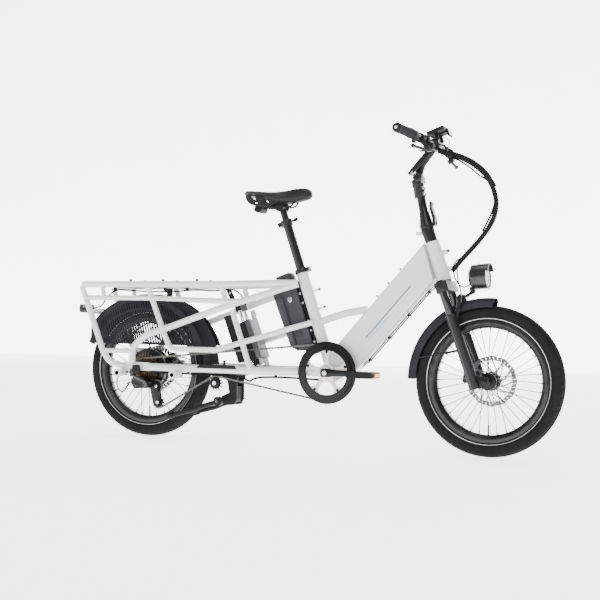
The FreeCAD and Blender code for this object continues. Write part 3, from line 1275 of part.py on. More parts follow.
def make_saddle():
    """Saddle base with rails, clamp and rear bumper, under the deep padded cover with its two side openings."""
    sections = [(417, 930, 34, 12), (428, 930, 70, 19), (455, 926, 94, 24), (500, 924, 88, 22.5), (545, 925, 58, 23),
                (585, 928, 35, 26), (622, 933, 29, 28), (655, 938, 25, 23), (670, 937, 18, 17), (676, 937, 10, 9)]
    rings_made = []
    for x, z, half_width, half_height in sections:
        oval = doc.addObject("Part::Ellipse", unique("saddle_section"))
        oval.MajorRadius = half_width
        oval.MinorRadius = half_height
        oval.Placement = Placement(at(x, 0, z), Rotation(LEFT, UP, FORWARD, "XYZ"))
        rings_made.append(oval)
    skin = doc.addObject("Part::Loft", unique("saddle_skin"))
    skin.Sections = rings_made
    skin.Solid = True
    skin.Ruled = False
    pivot = saddle_pivot(0)
    post_room = centred_box("post_room", 52, 34, 60, Placement(pivot, Rotation()), 0, 0, -4)
    rear_opening = box("rear_opening", 20, 240, 15, flat_frame(0, 0), 456, -120, 914)
    front_opening = box("front_opening", 18, 240, 12, flat_frame(0, 0), 503, -120, 907)
    cover = cut(skin, post_room, rear_opening, front_opening)
    sub_part("saddle_cover", cover)
    rails = [tube("saddle_rail", 3.5, [at(440, 22 * side, 922), at(470, 22 * side, 892),
                                       at(600, 20 * side, 892), at(625, 12 * side, 922)], 20)
             for side in (-1, 1)]
    clamp = fuse(cylinder("saddle_clamp", 18, 14, pivot + Vector(0, 16, 0)),
                 cylinder("saddle_clamp", 18, 14, pivot - Vector(0, 30, 0)),
                 centred_box("clamp_bridge", 40, 60, 8, Placement(pivot, Rotation()), 4, 0, 20))
    bumper = fuse(cylinder("saddle_bumper", 14, 64, at(467, -32, 884)),
                  box("bumper_foot", 24, 44, 26, flat_frame(0, 0), 455, -22, 884))
    return sub_part("saddle_base", cut(fuse(*rails, clamp, bumper), cover))


# ---------------------------------------------------------------------------------------- small parts, cables
def make_frame_hardware():
    """Head bearings, bottom bracket cups, deck bolts and bottle bosses."""
    s = Sizes
    f = HEAD_FRAME
    up = in_axis(f)
    gap = s.running_gap
    low = ring("low_bearing", s.head_tube_bore, s.steerer_radius + gap, 10, f.Base, up)
    high = ring("high_bearing", s.head_tube_bore, s.steerer_radius + gap, 10,
                in_frame(f, 0, 0, s.head_tube_length - 10), up)
    cups = [ring("bracket_cup", s.bracket_shell_bore, s.spindle_radius + gap, 14,
                 at(BRACKET[0], y, BRACKET[1])) for y in (-36, 22)]
    bolts = [cylinder("deck_bolt", s.bolt_radius, 5, at(x, y, z + s.cross_tube_radius - 1.2), UP)
             for x, z in CROSS_TUBES for y in (-55, 55)]
    seats = gather(*[cylinder("bolt_room", s.cross_tube_radius, 200, at(x, -100, z)) for x, z in CROSS_TUBES])
    bolts = [cut(bolt, seats) for bolt in bolts]
    frame = PARTS["main_frame"]
    bosses = [cylinder("bottle_boss", 4, 30, at(x, 0, z), in_axis(SEAT_FRAME).cross(LEFT) * -1)
              for x, z in ((683, 572), (706, 507))]
    tops = [cylinder("tube_boss", 4, 16, at(x, 0, z), DOWN_FRAME.Rotation.multVec(-FORWARD))
            for x, z in ((1043, 645), (998, 595), (955, 547))]
    fronts = [cylinder("head_boss", 6, 30, in_frame(f, 14, 0, h), f.Rotation.multVec(FORWARD))
              for h in (36, 98)]
    bosses = [cut(boss, frame, head_core(), seat_core(), down_core()) for boss in bosses + tops + fronts]
    return sub_part("frame_hardware", gather(low, high, *cups, *bolts, *bosses))


def head_core():
    return cylinder("head_core", Sizes.head_tube_bore, 150, HEAD_FRAME.Base, in_axis(HEAD_FRAME))


def seat_core():
    return cylinder("seat_core", 20, 400, in_frame(SEAT_FRAME, 0, 0, -400), in_axis(SEAT_FRAME))


def down_core():
    return box("down_core", 112, 60, 500, DOWN_FRAME, -56, -30, 60)


LOOM = [(1163, 1079), (1196, 1068), (1249, 1052), (1300, 1022), (1343, 983), (1369, 930), (1378, 880),
        (1366, 828), (1335, 778), (1292, 729), (1257, 693), (1222, 650)]


def make_cables():
    """The wrapped cable loom from the handlebar to the head tube, and the cables under the frame."""
    s = Sizes
    loom = tube("loom", s.loom_radius, [at(x, 0, z) for x, z in LOOM], 24)
    return sub_part("cables", cut(loom, PARTS["frame_hardware"], PARTS["stem_arm"]))


def build():
    main = make_main_frame()
    stays = make_chainstays(main)
    make_rack_sides(main, stays)
    make_cross_tubes()
    make_rear_fender()
    make_wheel_guards()
    make_tail_light()
    make_controller_box()
    make_battery_dock()
    make_battery()
    make_kickstand_bracket()
    make_kickstand_legs()
    make_chainring()
    make_crank_spider()
    make_crank_arms()
    sub_part("right_pedal", pedal(1))
    sub_part("left_pedal", pedal(-1))
    make_freewheel()
    make_pulley("idler_pulley", Sizes.idler_teeth, IDLER, 5)
    make_pulley("upper_jockey_wheel", Sizes.jockey_teeth, GUIDE_PULLEY, 3)
    make_pulley("lower_jockey_wheel", Sizes.jockey_teeth, TENSION_PULLEY, 3)
    make_chain()
    make_rear_derailleur()
    make_rear_wheel()
    make_front_wheel()
    make_rear_axle()
    make_rear_caliper()
    make_fork_crown()
    make_fork_lowers()
    make_front_fender()
    make_front_caliper()
    make_headlight()
    make_handlepost()
    make_post_latch()
    make_stem_arm()
    make_stem_lever()
    make_handlebar()
    make_grips()
    make_cockpit_controls()
    lever = brake_lever()
    sub_part("right_brake_lever", lever)
    sub_part("left_brake_lever", mirrored(lever))
    make_throttle()
    make_shifter_lever()
    make_seat_collar()
    clamp_lever("lower_clamp_lever", -9, 1)
    clamp_lever("upper_clamp_lever", UPPER_CLAMP - 4, -1)
    make_seatposts()
    make_saddle()
    make_frame_hardware()
    make_cables()


build()
doc.recompute()
os.makedirs("parts", exist_ok=True)
for thing in doc.Objects:
    if {"Invalid", "Error"} & set(thing.State):
        raise RuntimeError(f"{thing.Name} ({thing.Label}) could not be rebuilt")
for name, thing in PARTS.items():
    shape = thing.Shape
    if shape.isNull() or not shape.isValid() or not shape.Solids:
        raise RuntimeError(f"{name} has no valid solid")
    shape.exportStep(f"parts/{name}.step")
    print(name, len(shape.Solids), "solids")
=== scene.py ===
"""Looks of the long-tail cargo bicycle: materials, tyres, chain, saddle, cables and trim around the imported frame.

Metres, row frame: +X forward, +Y to the rider's left, +Z up, origin on the ground under the middle.
"""
import bmesh
import bpy
import json
import math
from mathutils import Matrix, Vector
from mathutils.geometry import delaunay_2d_cdt

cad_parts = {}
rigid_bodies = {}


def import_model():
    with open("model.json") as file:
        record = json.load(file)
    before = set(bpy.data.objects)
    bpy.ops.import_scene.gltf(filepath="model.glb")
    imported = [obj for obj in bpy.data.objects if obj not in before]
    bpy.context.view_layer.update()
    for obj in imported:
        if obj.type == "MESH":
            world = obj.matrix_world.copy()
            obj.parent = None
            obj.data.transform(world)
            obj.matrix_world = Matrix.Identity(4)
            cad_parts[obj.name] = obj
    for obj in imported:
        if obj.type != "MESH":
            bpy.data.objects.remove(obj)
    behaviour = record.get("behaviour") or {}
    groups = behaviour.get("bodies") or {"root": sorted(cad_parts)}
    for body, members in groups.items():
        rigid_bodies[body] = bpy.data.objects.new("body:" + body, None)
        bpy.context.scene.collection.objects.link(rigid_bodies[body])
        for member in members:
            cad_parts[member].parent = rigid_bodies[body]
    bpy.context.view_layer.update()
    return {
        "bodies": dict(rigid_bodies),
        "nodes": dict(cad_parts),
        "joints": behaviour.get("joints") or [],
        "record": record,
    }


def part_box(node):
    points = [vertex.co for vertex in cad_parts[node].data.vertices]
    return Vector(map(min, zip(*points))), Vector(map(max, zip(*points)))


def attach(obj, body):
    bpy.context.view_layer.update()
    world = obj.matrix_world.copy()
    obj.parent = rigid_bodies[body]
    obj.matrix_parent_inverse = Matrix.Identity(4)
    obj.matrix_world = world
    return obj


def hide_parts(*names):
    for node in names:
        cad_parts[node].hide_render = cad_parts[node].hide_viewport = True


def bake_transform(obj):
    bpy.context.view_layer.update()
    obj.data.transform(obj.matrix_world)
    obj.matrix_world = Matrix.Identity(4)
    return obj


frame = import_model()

NODES = frame["nodes"]
BODY_OF = {}
for body_name, node_names in frame["record"]["behaviour"]["bodies"].items():
    for node_name in node_names:
        BODY_OF[node_name] = body_name
SLOT_OF = {entry["node"]: entry["material_slot"] for entry in frame["record"]["subparts"]}
TAU = 2 * math.pi
UP = Vector((0, 0, 1))
LEFT = Vector((0, 1, 0))
SIDES = (("right", -1), ("left", 1))


def middle_of(node):
    """The middle of a CAD node's box."""
    low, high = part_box(node)
    return (low + high) / 2


REAR_AXLE = middle_of("rear_tyre")
FRONT_AXLE = middle_of("front_tyre")
CRANK = middle_of("chainring")
IDLER = middle_of("idler_pulley")
GUIDE = middle_of("upper_jockey_wheel")
TENSION = middle_of("lower_jockey_wheel")
WHEEL_RADIUS = (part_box("rear_tyre")[1].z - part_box("rear_tyre")[0].z) / 2
TYRE_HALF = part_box("rear_tyre")[1].y


def station(x, y, z):
    """A point given by its station ahead of the rear axle, in metres."""
    return Vector((REAR_AXLE.x + x, y, z))


HEAD_BOSSES = (0.036, 0.098)
BAR_END = (1.119, 0.333, 1.110)
BAR_BEND = (1.139, 0.190, 1.105)
GRIP_START = 0.232
STEM_PIVOT = (1.092, 0.985)
ACROSS_FOLD = "handlepost to steering"


# ------------------------------------------------------------------------------------------------- materials
def put_in_scene(name, data):
    """A new object that holds the data, linked to the scene."""
    obj = bpy.data.objects.new(name, data)
    bpy.context.scene.collection.objects.link(obj)
    return obj


class Surface:
    """A Principled material with procedural colour, roughness and bump over object coordinates."""

    def __init__(self, name, colour, rough, metallic=0.0, coat=0.0, coat_rough=0.1):
        self.material = bpy.data.materials.new(name)
        self.material.use_nodes = True
        self.tree = self.material.node_tree
        self.shader = self.tree.nodes["Principled BSDF"]
        self.shader.inputs["Base Color"].default_value = (*colour, 1)
        self.shader.inputs["Roughness"].default_value = rough
        self.shader.inputs["Metallic"].default_value = metallic
        self.shader.inputs["Coat Weight"].default_value = coat
        self.shader.inputs["Coat Roughness"].default_value = coat_rough
        self.place = self.node("ShaderNodeTexCoord").outputs["Object"]
        self.colour = None
        self.start = colour
        self.rough = rough
        self.height = None

    def node(self, kind, **settings):
        """A new node of that kind, with its settings."""
        made = self.tree.nodes.new(kind)
        for name, value in settings.items():
            setattr(made, name, value)
        return made

    def link(self, output, target):
        """Joins an output to an input."""
        self.tree.links.new(output, target)

    def noise(self, scale, detail=3.0, stretch=(1, 1, 1)):
        """A noise over the object, stretched along its axes."""
        mapping = self.node("ShaderNodeMapping")
        mapping.inputs["Scale"].default_value = stretch
        self.link(self.place, mapping.inputs["Vector"])
        made = self.node("ShaderNodeTexNoise")
        made.inputs["Scale"].default_value = scale
        made.inputs["Detail"].default_value = detail
        self.link(mapping.outputs["Vector"], made.inputs["Vector"])
        return made.outputs["Fac"]

    def spread(self, value, low, high, start=0.3, end=0.7):
        """Maps the usual span of a noise to a range."""
        made = self.node("ShaderNodeMapRange")
        made.inputs["From Min"].default_value = start
        made.inputs["From Max"].default_value = end
        made.inputs["To Min"].default_value = low
        made.inputs["To Max"].default_value = high
        self.link(value, made.inputs["Value"])
        return made.outputs["Result"]

    def tint(self, mask, colour):
        """Mixes another colour over the present one where the mask is 1."""
        mix = self.node("ShaderNodeMix", data_type="RGBA")
        self.link(mask, mix.inputs["Factor"])
        if self.colour is None:
            mix.inputs["A"].default_value = (*self.start, 1)
        else:
            self.link(self.colour, mix.inputs["A"])
        mix.inputs["B"].default_value = (*colour, 1)
        self.colour = mix.outputs["Result"]
        self.link(self.colour, self.shader.inputs["Base Color"])
        return self

    def mottle(self, scale, colour, strength=0.5, stretch=(1, 1, 1)):
        """Patches of another colour."""
        return self.tint(self.spread(self.noise(scale, 4, stretch), 0, strength, 0.35, 0.75), colour)

    def rough_span(self, scale, low, high, stretch=(1, 1, 1)):
        """Roughness that wanders between two values."""
        self.link(self.spread(self.noise(scale, 3, stretch), low, high), self.shader.inputs["Roughness"])
        return self

    def grain(self, scale, depth, detail=2.0, stretch=(1, 1, 1)):
        """Bump from a noise of that scale; depth is in metres."""
        return self.bump(self.noise(scale, detail, stretch), depth)

    def bump(self, height, depth):
        """Bump from a height between 0 and 1; depth is in metres."""
        made = self.node("ShaderNodeBump")
        made.inputs["Distance"].default_value = depth
        made.inputs["Strength"].default_value = 1.0
        self.link(height, made.inputs["Height"])
        if self.height is not None:
            self.link(self.height, made.inputs["Normal"])
        self.height = made.outputs["Normal"]
        self.link(self.height, self.shader.inputs["Normal"])
        return self

    def worn(self, colour, strength=0.5):
        """A lighter colour along sharp edges."""
        edge = self.node("ShaderNodeNewGeometry").outputs["Pointiness"]
        return self.tint(self.spread(edge, 0, strength, 0.53, 0.62), colour)


def make_materials():
    """Every material of the bicycle, by name."""
    made = {}

    def add(name, *args, **kwargs):
        made[name] = Surface(name, *args, **kwargs)
        return made[name]

    add("frame_paint", (0.66, 0.70, 0.675), 0.32, coat=0.7, coat_rough=0.08) \
        .mottle(3, (0.60, 0.645, 0.62), 0.5).grain(260, 0.00004)
    add("accent_paint", (0.20, 0.58, 0.80), 0.35, coat=0.5).mottle(9, (0.16, 0.50, 0.72), 0.4)
    add("grey_print", (0.15, 0.16, 0.165), 0.45, coat=0.3).mottle(30, (0.11, 0.12, 0.12), 0.4)
    add("black_metal", (0.006, 0.006, 0.0065), 0.34, metallic=0.35, coat=0.2) \
        .mottle(14, (0.010, 0.010, 0.011), 0.6).rough_span(22, 0.28, 0.42).grain(420, 0.00003) \
        .worn((0.09, 0.09, 0.092), 0.35)
    add("fork_metal", (0.009, 0.009, 0.010), 0.42, metallic=0.3, coat=0.15) \
        .mottle(10, (0.014, 0.014, 0.015), 0.6).rough_span(30, 0.36, 0.5).grain(500, 0.00004) \
        .worn((0.1, 0.1, 0.105), 0.3)
    add("stanchion_black", (0.01, 0.01, 0.011), 0.14, metallic=0.6, coat=0.5).rough_span(40, 0.1, 0.2)
    add("tyre_rubber", (0.0065, 0.0065, 0.0068), 0.78) \
        .mottle(20, (0.011, 0.011, 0.011), 0.7).rough_span(60, 0.68, 0.88).grain(900, 0.0001)
    add("reflective_stripe", (0.50, 0.51, 0.52), 0.34, metallic=0.6).rough_span(200, 0.28, 0.45)
    add("rim_metal", (0.006, 0.006, 0.0065), 0.3, metallic=0.4, coat=0.25) \
        .mottle(18, (0.009, 0.009, 0.010), 0.6).rough_span(24, 0.24, 0.4)
    add("spoke_steel", (0.085, 0.088, 0.092), 0.28, metallic=1.0) \
        .mottle(60, (0.05, 0.052, 0.054), 0.6).rough_span(120, 0.2, 0.38)
    add("rotor_steel", (0.20, 0.20, 0.205), 0.3, metallic=1.0) \
        .mottle(30, (0.13, 0.13, 0.135), 0.6).rough_span(90, 0.22, 0.42, (1, 8, 1))
    add("chain_steel", (0.15, 0.145, 0.135), 0.33, metallic=1.0) \
        .mottle(90, (0.045, 0.043, 0.04), 0.8).rough_span(150, 0.25, 0.5)
    add("cog_steel", (0.070, 0.048, 0.030), 0.36, metallic=0.95) \
        .mottle(70, (0.05, 0.034, 0.024), 0.7).rough_span(90, 0.3, 0.5).worn((0.15, 0.12, 0.09), 0.5)
    add("spider_alloy", (0.70, 0.655, 0.60), 0.34, metallic=0.85) \
        .mottle(26, (0.60, 0.56, 0.52), 0.5).rough_span(70, 0.28, 0.44).grain(700, 0.00003)
    add("grip_rubber", (0.020, 0.020, 0.021), 0.8) \
        .mottle(40, (0.030, 0.030, 0.032), 0.5).grain(1500, 0.00018)
    add("black_plastic", (0.007, 0.007, 0.0078), 0.52) \
        .mottle(16, (0.012, 0.012, 0.013), 0.6).rough_span(40, 0.45, 0.62).grain(1100, 0.00012)
    add("guard_plastic", (0.022, 0.022, 0.025), 0.6) \
        .mottle(12, (0.032, 0.032, 0.036), 0.6).rough_span(30, 0.5, 0.7).grain(1000, 0.00006)
    add("battery_plastic", (0.030, 0.031, 0.036), 0.42, coat=0.1) \
        .mottle(14, (0.042, 0.043, 0.049), 0.6).rough_span(30, 0.36, 0.5).grain(1200, 0.0001)
    add("cover_grey", (0.060, 0.060, 0.066), 0.45, metallic=0.3).mottle(16, (0.045, 0.045, 0.050), 0.5) \
        .grain(900, 0.00008)
    add("saddle_skin", (0.005, 0.005, 0.0053), 0.46, coat=0.1) \
        .mottle(26, (0.009, 0.009, 0.0095), 0.6).rough_span(60, 0.4, 0.56).grain(700, 0.00022, 5)
    add("hardware_steel", (0.07, 0.07, 0.073), 0.34, metallic=0.9).mottle(90, (0.13, 0.13, 0.13), 0.5)
    add("brass", (0.62, 0.42, 0.16), 0.32, metallic=1.0).rough_span(60, 0.25, 0.4)
    add("chrome", (0.75, 0.75, 0.76), 0.14, metallic=1.0).rough_span(60, 0.08, 0.22)
    add("lamp_plastic", (0.006, 0.006, 0.0065), 0.3, coat=0.15).mottle(20, (0.01, 0.01, 0.0105), 0.5) \
        .rough_span(40, 0.2, 0.32)
    add("reflector_silver", (0.85, 0.86, 0.88), 0.12, metallic=1.0).rough_span(50, 0.06, 0.2)
    add("cable_plastic", (0.006, 0.006, 0.0065), 0.8).mottle(60, (0.014, 0.014, 0.014), 0.5)
    add("wrap_plastic", (0.030, 0.030, 0.032), 0.8).mottle(70, (0.055, 0.055, 0.058), 0.5)
    add("ring_black", (0.004, 0.004, 0.0043), 0.3).mottle(20, (0.007, 0.007, 0.0075), 0.5)
    made["ring_black"].shader.inputs["Specular IOR Level"].default_value = 0.2
    # Near-black for the battery's panel lines and charge cap, and also used as painted shade inside the running-board
    # socket bores.
    add("seam_dark_and_bore_shade", (0.008, 0.008, 0.009), 0.5).mottle(30, (0.014, 0.014, 0.015), 0.5)
    led = add("led_warm", (0.95, 0.93, 0.85), 0.3)
    led.mottle(300, (0.85, 0.82, 0.7), 0.4)
    led.shader.inputs["Emission Color"].default_value = (1.0, 0.97, 0.9, 1)
    led.shader.inputs["Emission Strength"].default_value = 0.5
    add("screen", (0.010, 0.012, 0.014), 0.08, coat=0.6).mottle(12, (0.02, 0.024, 0.026), 0.5)
    amber = add("amber_lens", (0.80, 0.24, 0.02), 0.18, coat=0.5)
    red = add("red_lens", (0.48, 0.015, 0.012), 0.16, coat=0.6)
    clear = add("clear_lens", (0.93, 0.95, 0.96), 0.05)
    for dull, gloss in (("tyre_rubber", 0.12), ("black_plastic", 0.15), ("guard_plastic", 0.0), ("grip_rubber", 0.15),
                        ("saddle_skin", 0.2), ("cable_plastic", 0.02), ("wrap_plastic", 0.02), ("fork_metal", 0.15),
                        ("battery_plastic", 0.2), ("black_metal", 0.2)):
        made[dull].shader.inputs["Specular IOR Level"].default_value = gloss
    for lens, depth in ((amber, 0.25), (red, 0.2), (clear, 0.85)):
        lens.shader.inputs["Transmission Weight"].default_value = depth
        lens.shader.inputs["IOR"].default_value = 1.49
        cell = lens.node("ShaderNodeTexVoronoi")
        cell.inputs["Scale"].default_value = 220
        lens.link(lens.place, cell.inputs["Vector"])
        lens.bump(cell.outputs["Distance"], 0.0006)
    return {name: surface.material for name, surface in made.items()}


MATERIALS = make_materials()


# ---------------------------------------------------------------------------------------------- mesh helpers
def smooth(obj, angle=35):
    """Smooth shading, with edges sharper than the angle left sharp."""
    for polygon in obj.data.polygons:
        polygon.use_smooth = True
    obj.data.set_sharp_from_angle(angle=math.radians(angle))
    return obj


def new_object(name, vertices, faces, material):
    """A mesh object in the scene, with its material."""
    mesh = bpy.data.meshes.new(name)
    mesh.from_pydata([tuple(v) for v in vertices], [], faces)
    mesh.update()
    mesh.materials.append(MATERIALS[material])
    return smooth(put_in_scene(name, mesh))


def piece(name, vertices, faces, material, body, replaced=(), slot=None):
    """A visible piece that rides on a body and may stand for CAD nodes."""
    obj = new_object(name, vertices, faces, material)
    return settle(obj, body, replaced)


def settle(obj, body, replaced=()):
    """Puts an object on its body, or leaves it unparented where it is when it spans the folding joint, and hides the
    CAD nodes it stands for.
    """
    if body == ACROSS_FOLD:
        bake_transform(obj)
    else:
        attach(obj, body)
    if replaced:
        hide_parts(*replaced)
    return obj


def face_outward(obj):
    """Turns every face of a closed mesh outward."""
    bm = bmesh.new()
    bm.from_mesh(obj.data)
    bmesh.ops.recalc_face_normals(bm, faces=bm.faces)
    bm.to_mesh(obj.data)
    bm.free()


def add_mesh(vertices, faces, more):
    """Adds another mesh's vertices and faces to lists of them."""
    base = len(vertices)
    vertices += more[0]
    faces += [tuple(base + k for k in face) for face in more[1]]


def soften(obj, width=0.0006, segments=2, angle=32):
    """Rounds sharp edges, as moulding and machining do."""
    weld = obj.modifiers.new("weld", "WELD")
    weld.merge_threshold = 0.000004
    bevel = obj.modifiers.new("edges", "BEVEL")
    bevel.width = width
    bevel.segments = segments
    bevel.limit_method = "ANGLE"
    bevel.angle_limit = math.radians(angle)
    bevel.harden_normals = True
    bevel.use_clamp_overlap = True
    for polygon in obj.data.polygons:
        polygon.use_smooth = True
    return obj


def paint_node(node, material, width=0.0006):
    """Gives a CAD node its material and softened edges."""
    obj = NODES[node]
    obj.data.materials.clear()
    obj.data.materials.append(MATERIALS[material])
    if width:
        soften(obj, width)


def islands(node):
    """The separate solids of a CAD node, each as a bmesh-ready (vertices, faces) pair."""
    source = bmesh.new()
    source.from_mesh(NODES[node].data)
    bmesh.ops.remove_doubles(source, verts=source.verts, dist=0.000002)
    seen = set()
    found = []
    for start in source.verts:
        if start in seen:
            continue
        stack = [start]
        seen.add(start)
        group = []
        while stack:
            vertex = stack.pop()
            group.append(vertex)
            for edge in vertex.link_edges:
                other = edge.other_vert(vertex)
                if other not in seen:
                    seen.add(other)
                    stack.append(other)
        index = {v: i for i, v in enumerate(group)}
        faces = {f for v in group for f in v.link_faces}
        found.append(([v.co.copy() for v in group],
                      sorted([index[v] for v in f.verts] for f in faces)))
    source.free()
    found.sort(key=lambda item: (round(sum((v.x for v in item[0])) / len(item[0]), 5),
                                 round(sum((v.y for v in item[0])) / len(item[0]), 5)))
    return found


def recolour(node, choose, width=0.0005):
    """Rebuilds a CAD node as pieces, one per solid, with the material that choose(low, high) names."""
    replaced = [node]
    for i, (vertices, faces) in enumerate(islands(node)):
        low = Vector([min(v[k] for v in vertices) for k in range(3)])
        high = Vector([max(v[k] for v in vertices) for k in range(3)])
        obj = piece(f"{node}_{i + 1}", vertices, faces, choose(low, high), BODY_OF[node], replaced)
        if width:
            soften(obj, width)


def retint(obj, material, inside):
    """Gives the faces of an object whose middles pass a test another material."""
    obj.data.materials.append(MATERIALS[material])
    index = len(obj.data.materials) - 1
    for polygon in obj.data.polygons:
        if inside(polygon.center):
            polygon.material_index = index


class Tilt:
    """A frame tilted about the sideways axis, such as the one along the seat tube."""

    def __init__(self, x, z, lean):
        self.turn = Matrix.Rotation(math.radians(lean), 3, "Y")
        self.origin = station(x, 0, z)

    def out(self, x, y, z):
        return self.origin + self.turn @ Vector((x, y, z))

    def local(self, point):
        return self.turn.transposed() @ (point - self.origin)

    def way(self, x, y, z):
        return self.turn @ Vector((x, y, z))


LEVEL = Tilt(0, 0, 0)
SEAT = Tilt(0.638, 0.657, -19.6)
HEAD = Tilt(1.195, 0.614, -20)
DOWN = Tilt(0.783, 0.269, 41.3)
POST = Tilt(1.126, 0.803, -12)
CONTROL = Tilt(0.436, 0.392, -21.4)
LAMP = Tilt(1.322, 0.630, -4)
DISPLAY = Tilt(1.160, 1.140, -20)


def ring_faces(rings, size, wrap_rings=True, wrap_size=True):
    """Faces between neighbouring rings of points, each ring of the given size."""
    faces = []
    for i in range(rings if wrap_rings else rings - 1):
        j = (i + 1) % rings
        for k in range(size if wrap_size else size - 1):
            n = (k + 1) % size
            faces.append((i * size + k, i * size + n, j * size + n, j * size + k))
    return faces


def prism_faces(n):
    """Faces of a prism: its two ends of n corners and the sides between them."""
    ends = [tuple(range(n)), tuple(n + k for k in reversed(range(n)))]
    return ends + [(k, n + k, n + (k + 1) % n, (k + 1) % n) for k in range(n)]


def turned(name, profile, base, direction, sides, material, body, replaced=(), slot=None, closed=False):
    """A piece turned about a line: the profile is (radius, distance along); six sides make a bolt head."""
    along = Vector(direction).normalized()
    across = along.orthogonal().normalized()
    other = along.cross(across)
    vertices = []
    for k in range(sides):
        angle = TAU * k / sides
        out = across * math.cos(angle) + other * math.sin(angle)
        vertices += [base + out * radius + along * reach for radius, reach in profile]
    m = len(profile)
    faces = ring_faces(sides, m, wrap_size=closed)
    if not closed:
        faces.append(tuple(k * m for k in range(sides)))
        faces.append(tuple(reversed([k * m + m - 1 for k in range(sides)])))
    obj = piece(name, vertices, faces, material, body, replaced, slot or (None if replaced else slot_for(material)))
    face_outward(obj)
    return smooth(obj)


SLOTS = {"chrome": "hardware_steel", "brass": "hardware_steel", "reflector_silver": "lamp_plastic",
         "clear_lens": "lamp_plastic", "led_warm": "lamp_plastic", "screen": "black_plastic",
         "guard_plastic": "black_plastic", "cover_grey": "black_plastic", "accent_paint": "frame_paint",
         "grey_print": "frame_paint", "wrap_plastic": "cable_plastic", "seam_dark_and_bore_shade": "battery_plastic"}


def slot_for(material):
    """The record's material slot for a material."""
    return SLOTS.get(material, material)


def block(name, frame, low, high, width, material, body):
    """A box in a tilted frame with rounded edges."""
    corners = [(x, y, z) for x in (low[0], high[0]) for y in (low[1], high[1]) for z in (low[2], high[2])]
    faces = [(0, 1, 3, 2), (4, 6, 7, 5), (0, 4, 5, 1), (2, 3, 7, 6), (0, 2, 6, 4), (1, 5, 7, 3)]
    obj = piece(name, [frame.out(*corner) for corner in corners], faces, material, body, slot=slot_for(material))
    return soften(obj, width, 3)


def inside_outline(point, outline):
    """Whether a flat point is inside a closed outline."""
    found = False
    for (ax, ay), (bx, by) in zip(outline, outline[1:] + outline[:1]):
        if (ay > point[1]) != (by > point[1]) and point[0] < ax + (point[1] - ay) / (by - ay) * (bx - ax):
            found = not found
    return found


def sheet_piece(name, outline, holes, place, low, high, material, body, replaced=(), slot=None):
    """A flat sheet with openings; place(u, v, depth) gives points in the scene, in metres."""
    flat, edges = [], []
    for loop in [outline] + holes:
        base = len(flat)
        flat += [Vector(p) for p in loop]
        edges += [(base + k, base + (k + 1) % len(loop)) for k in range(len(loop))]
    found, _, triangles, *_ = delaunay_2d_cdt(flat, edges, [], 0, 1e-7)
    cells = []
    for hole in holes:
        middle = sum((Vector(p) for p in hole), Vector((0, 0))) / len(hole)
        cells.append((middle, max((Vector(p) - middle).length for p in hole), hole))
    kept = []
    for triangle in triangles:
        middle = sum((found[k] for k in triangle), Vector((0, 0))) / 3
        if not inside_outline(middle, outline):
            continue
        if any((middle - centre).length < reach and inside_outline(middle, hole) for centre, reach, hole in cells):
            continue
        kept.append(tuple(triangle))
    count = len(found)
    vertices = [place(p.x, p.y, low) for p in found] + [place(p.x, p.y, high) for p in found]
    faces = list(kept) + [tuple(count + k for k in reversed(face)) for face in kept]
    sides = {}
    for face in kept:
        for a, b in zip(face, face[1:] + face[:1]):
            if (b, a) in sides:
                del sides[(b, a)]
            else:
                sides[(a, b)] = True
    faces += [(b, a, count + a, count + b) for a, b in sides]
    obj = piece(name, vertices, faces, material, body, replaced, slot)
    face_outward(obj)
    return smooth(obj, 30)


def around(radius, angle):
    """A flat point at that radius and angle."""
    return (radius * math.cos(angle), radius * math.sin(angle))


def about(centre, angle, radius, side):
    """A point at that angle and radius about a sideways axis, and that far to the side of its centre."""
    return centre + Vector((math.cos(angle) * radius, side, math.sin(angle) * radius))


def facing(centre):
    """Places flat points on the side of a wheel: u ahead of its centre, v above it, depth from the middle plane."""
    return lambda u, v, depth: Vector((centre.x + u, depth, centre.z + v))


def bolt_head(name, base, direction, radius, body, material="hardware_steel", height=0.005):
    """A round-topped cap screw with a hexagonal socket rim."""
    profile = [(radius * 0.55, 0), (radius, 0.0004), (radius, height * 0.75), (radius * 0.86, height),
               (radius * 0.46, height), (radius * 0.40, height * 0.55)]
    return turned(name, profile, base, direction, 18, material, body)


def washer_bolt(name, base, direction, radius, body, height=0.006):
    """A six-sided bolt head on a washer."""
    turned(name + "_washer", [(radius * 0.5, 0), (radius * 1.35, 0), (radius * 1.35, 0.0012), (radius * 0.5, 0.0012)],
           base, direction, 20, "hardware_steel", body)
    top = [(radius * 0.5, 0.0012), (radius, 0.0012), (radius, height * 0.8), (radius * 0.82, height)]
    turned(name, top, base, direction, 6, "hardware_steel", body)


def strip(name, frame, start, end, width, side, material, body, depth=0.0004):
    """A thin flat line with round ends on the side of the bicycle; start and end are places in a frame."""
    a, b = Vector((start[0], 0, start[1])), Vector((end[0], 0, end[1]))
    along = (b - a).normalized()
    across = Vector((-along.z, 0, along.x))
    outline = []
    for centre, first in ((a, math.pi / 2), (b, -math.pi / 2)):
        for k in range(9):
            angle = first + math.pi * k / 8
            outline.append(centre + (along * math.cos(angle) + across * math.sin(angle)) * width / 2)
    way = 1 if side > 0 else -1
    vertices = []
    for lift in (0.0, depth):
        vertices += [frame.out(p.x, side + way * lift, p.z) for p in outline]
    piece(name, vertices, prism_faces(len(outline)), material, body, slot=slot_for(material))


def hose(name, radius, body, lay, *places):
    """A thin cable or hose through the places given by their stations."""
    cable_piece(name, [station(*place) for place in places], radius, "cable_plastic", body)


def rings(profile, centre, count, cut=lambda angle, radius, side: 0.0):
    """The (radius, side) points of a profile at even turns about a sideways axis, each cut that much deeper."""
    vertices = []
    for i in range(count):
        angle = TAU * i / count
        vertices += [about(centre, angle, radius - cut(angle, radius, side), side) for radius, side in profile]
    return vertices


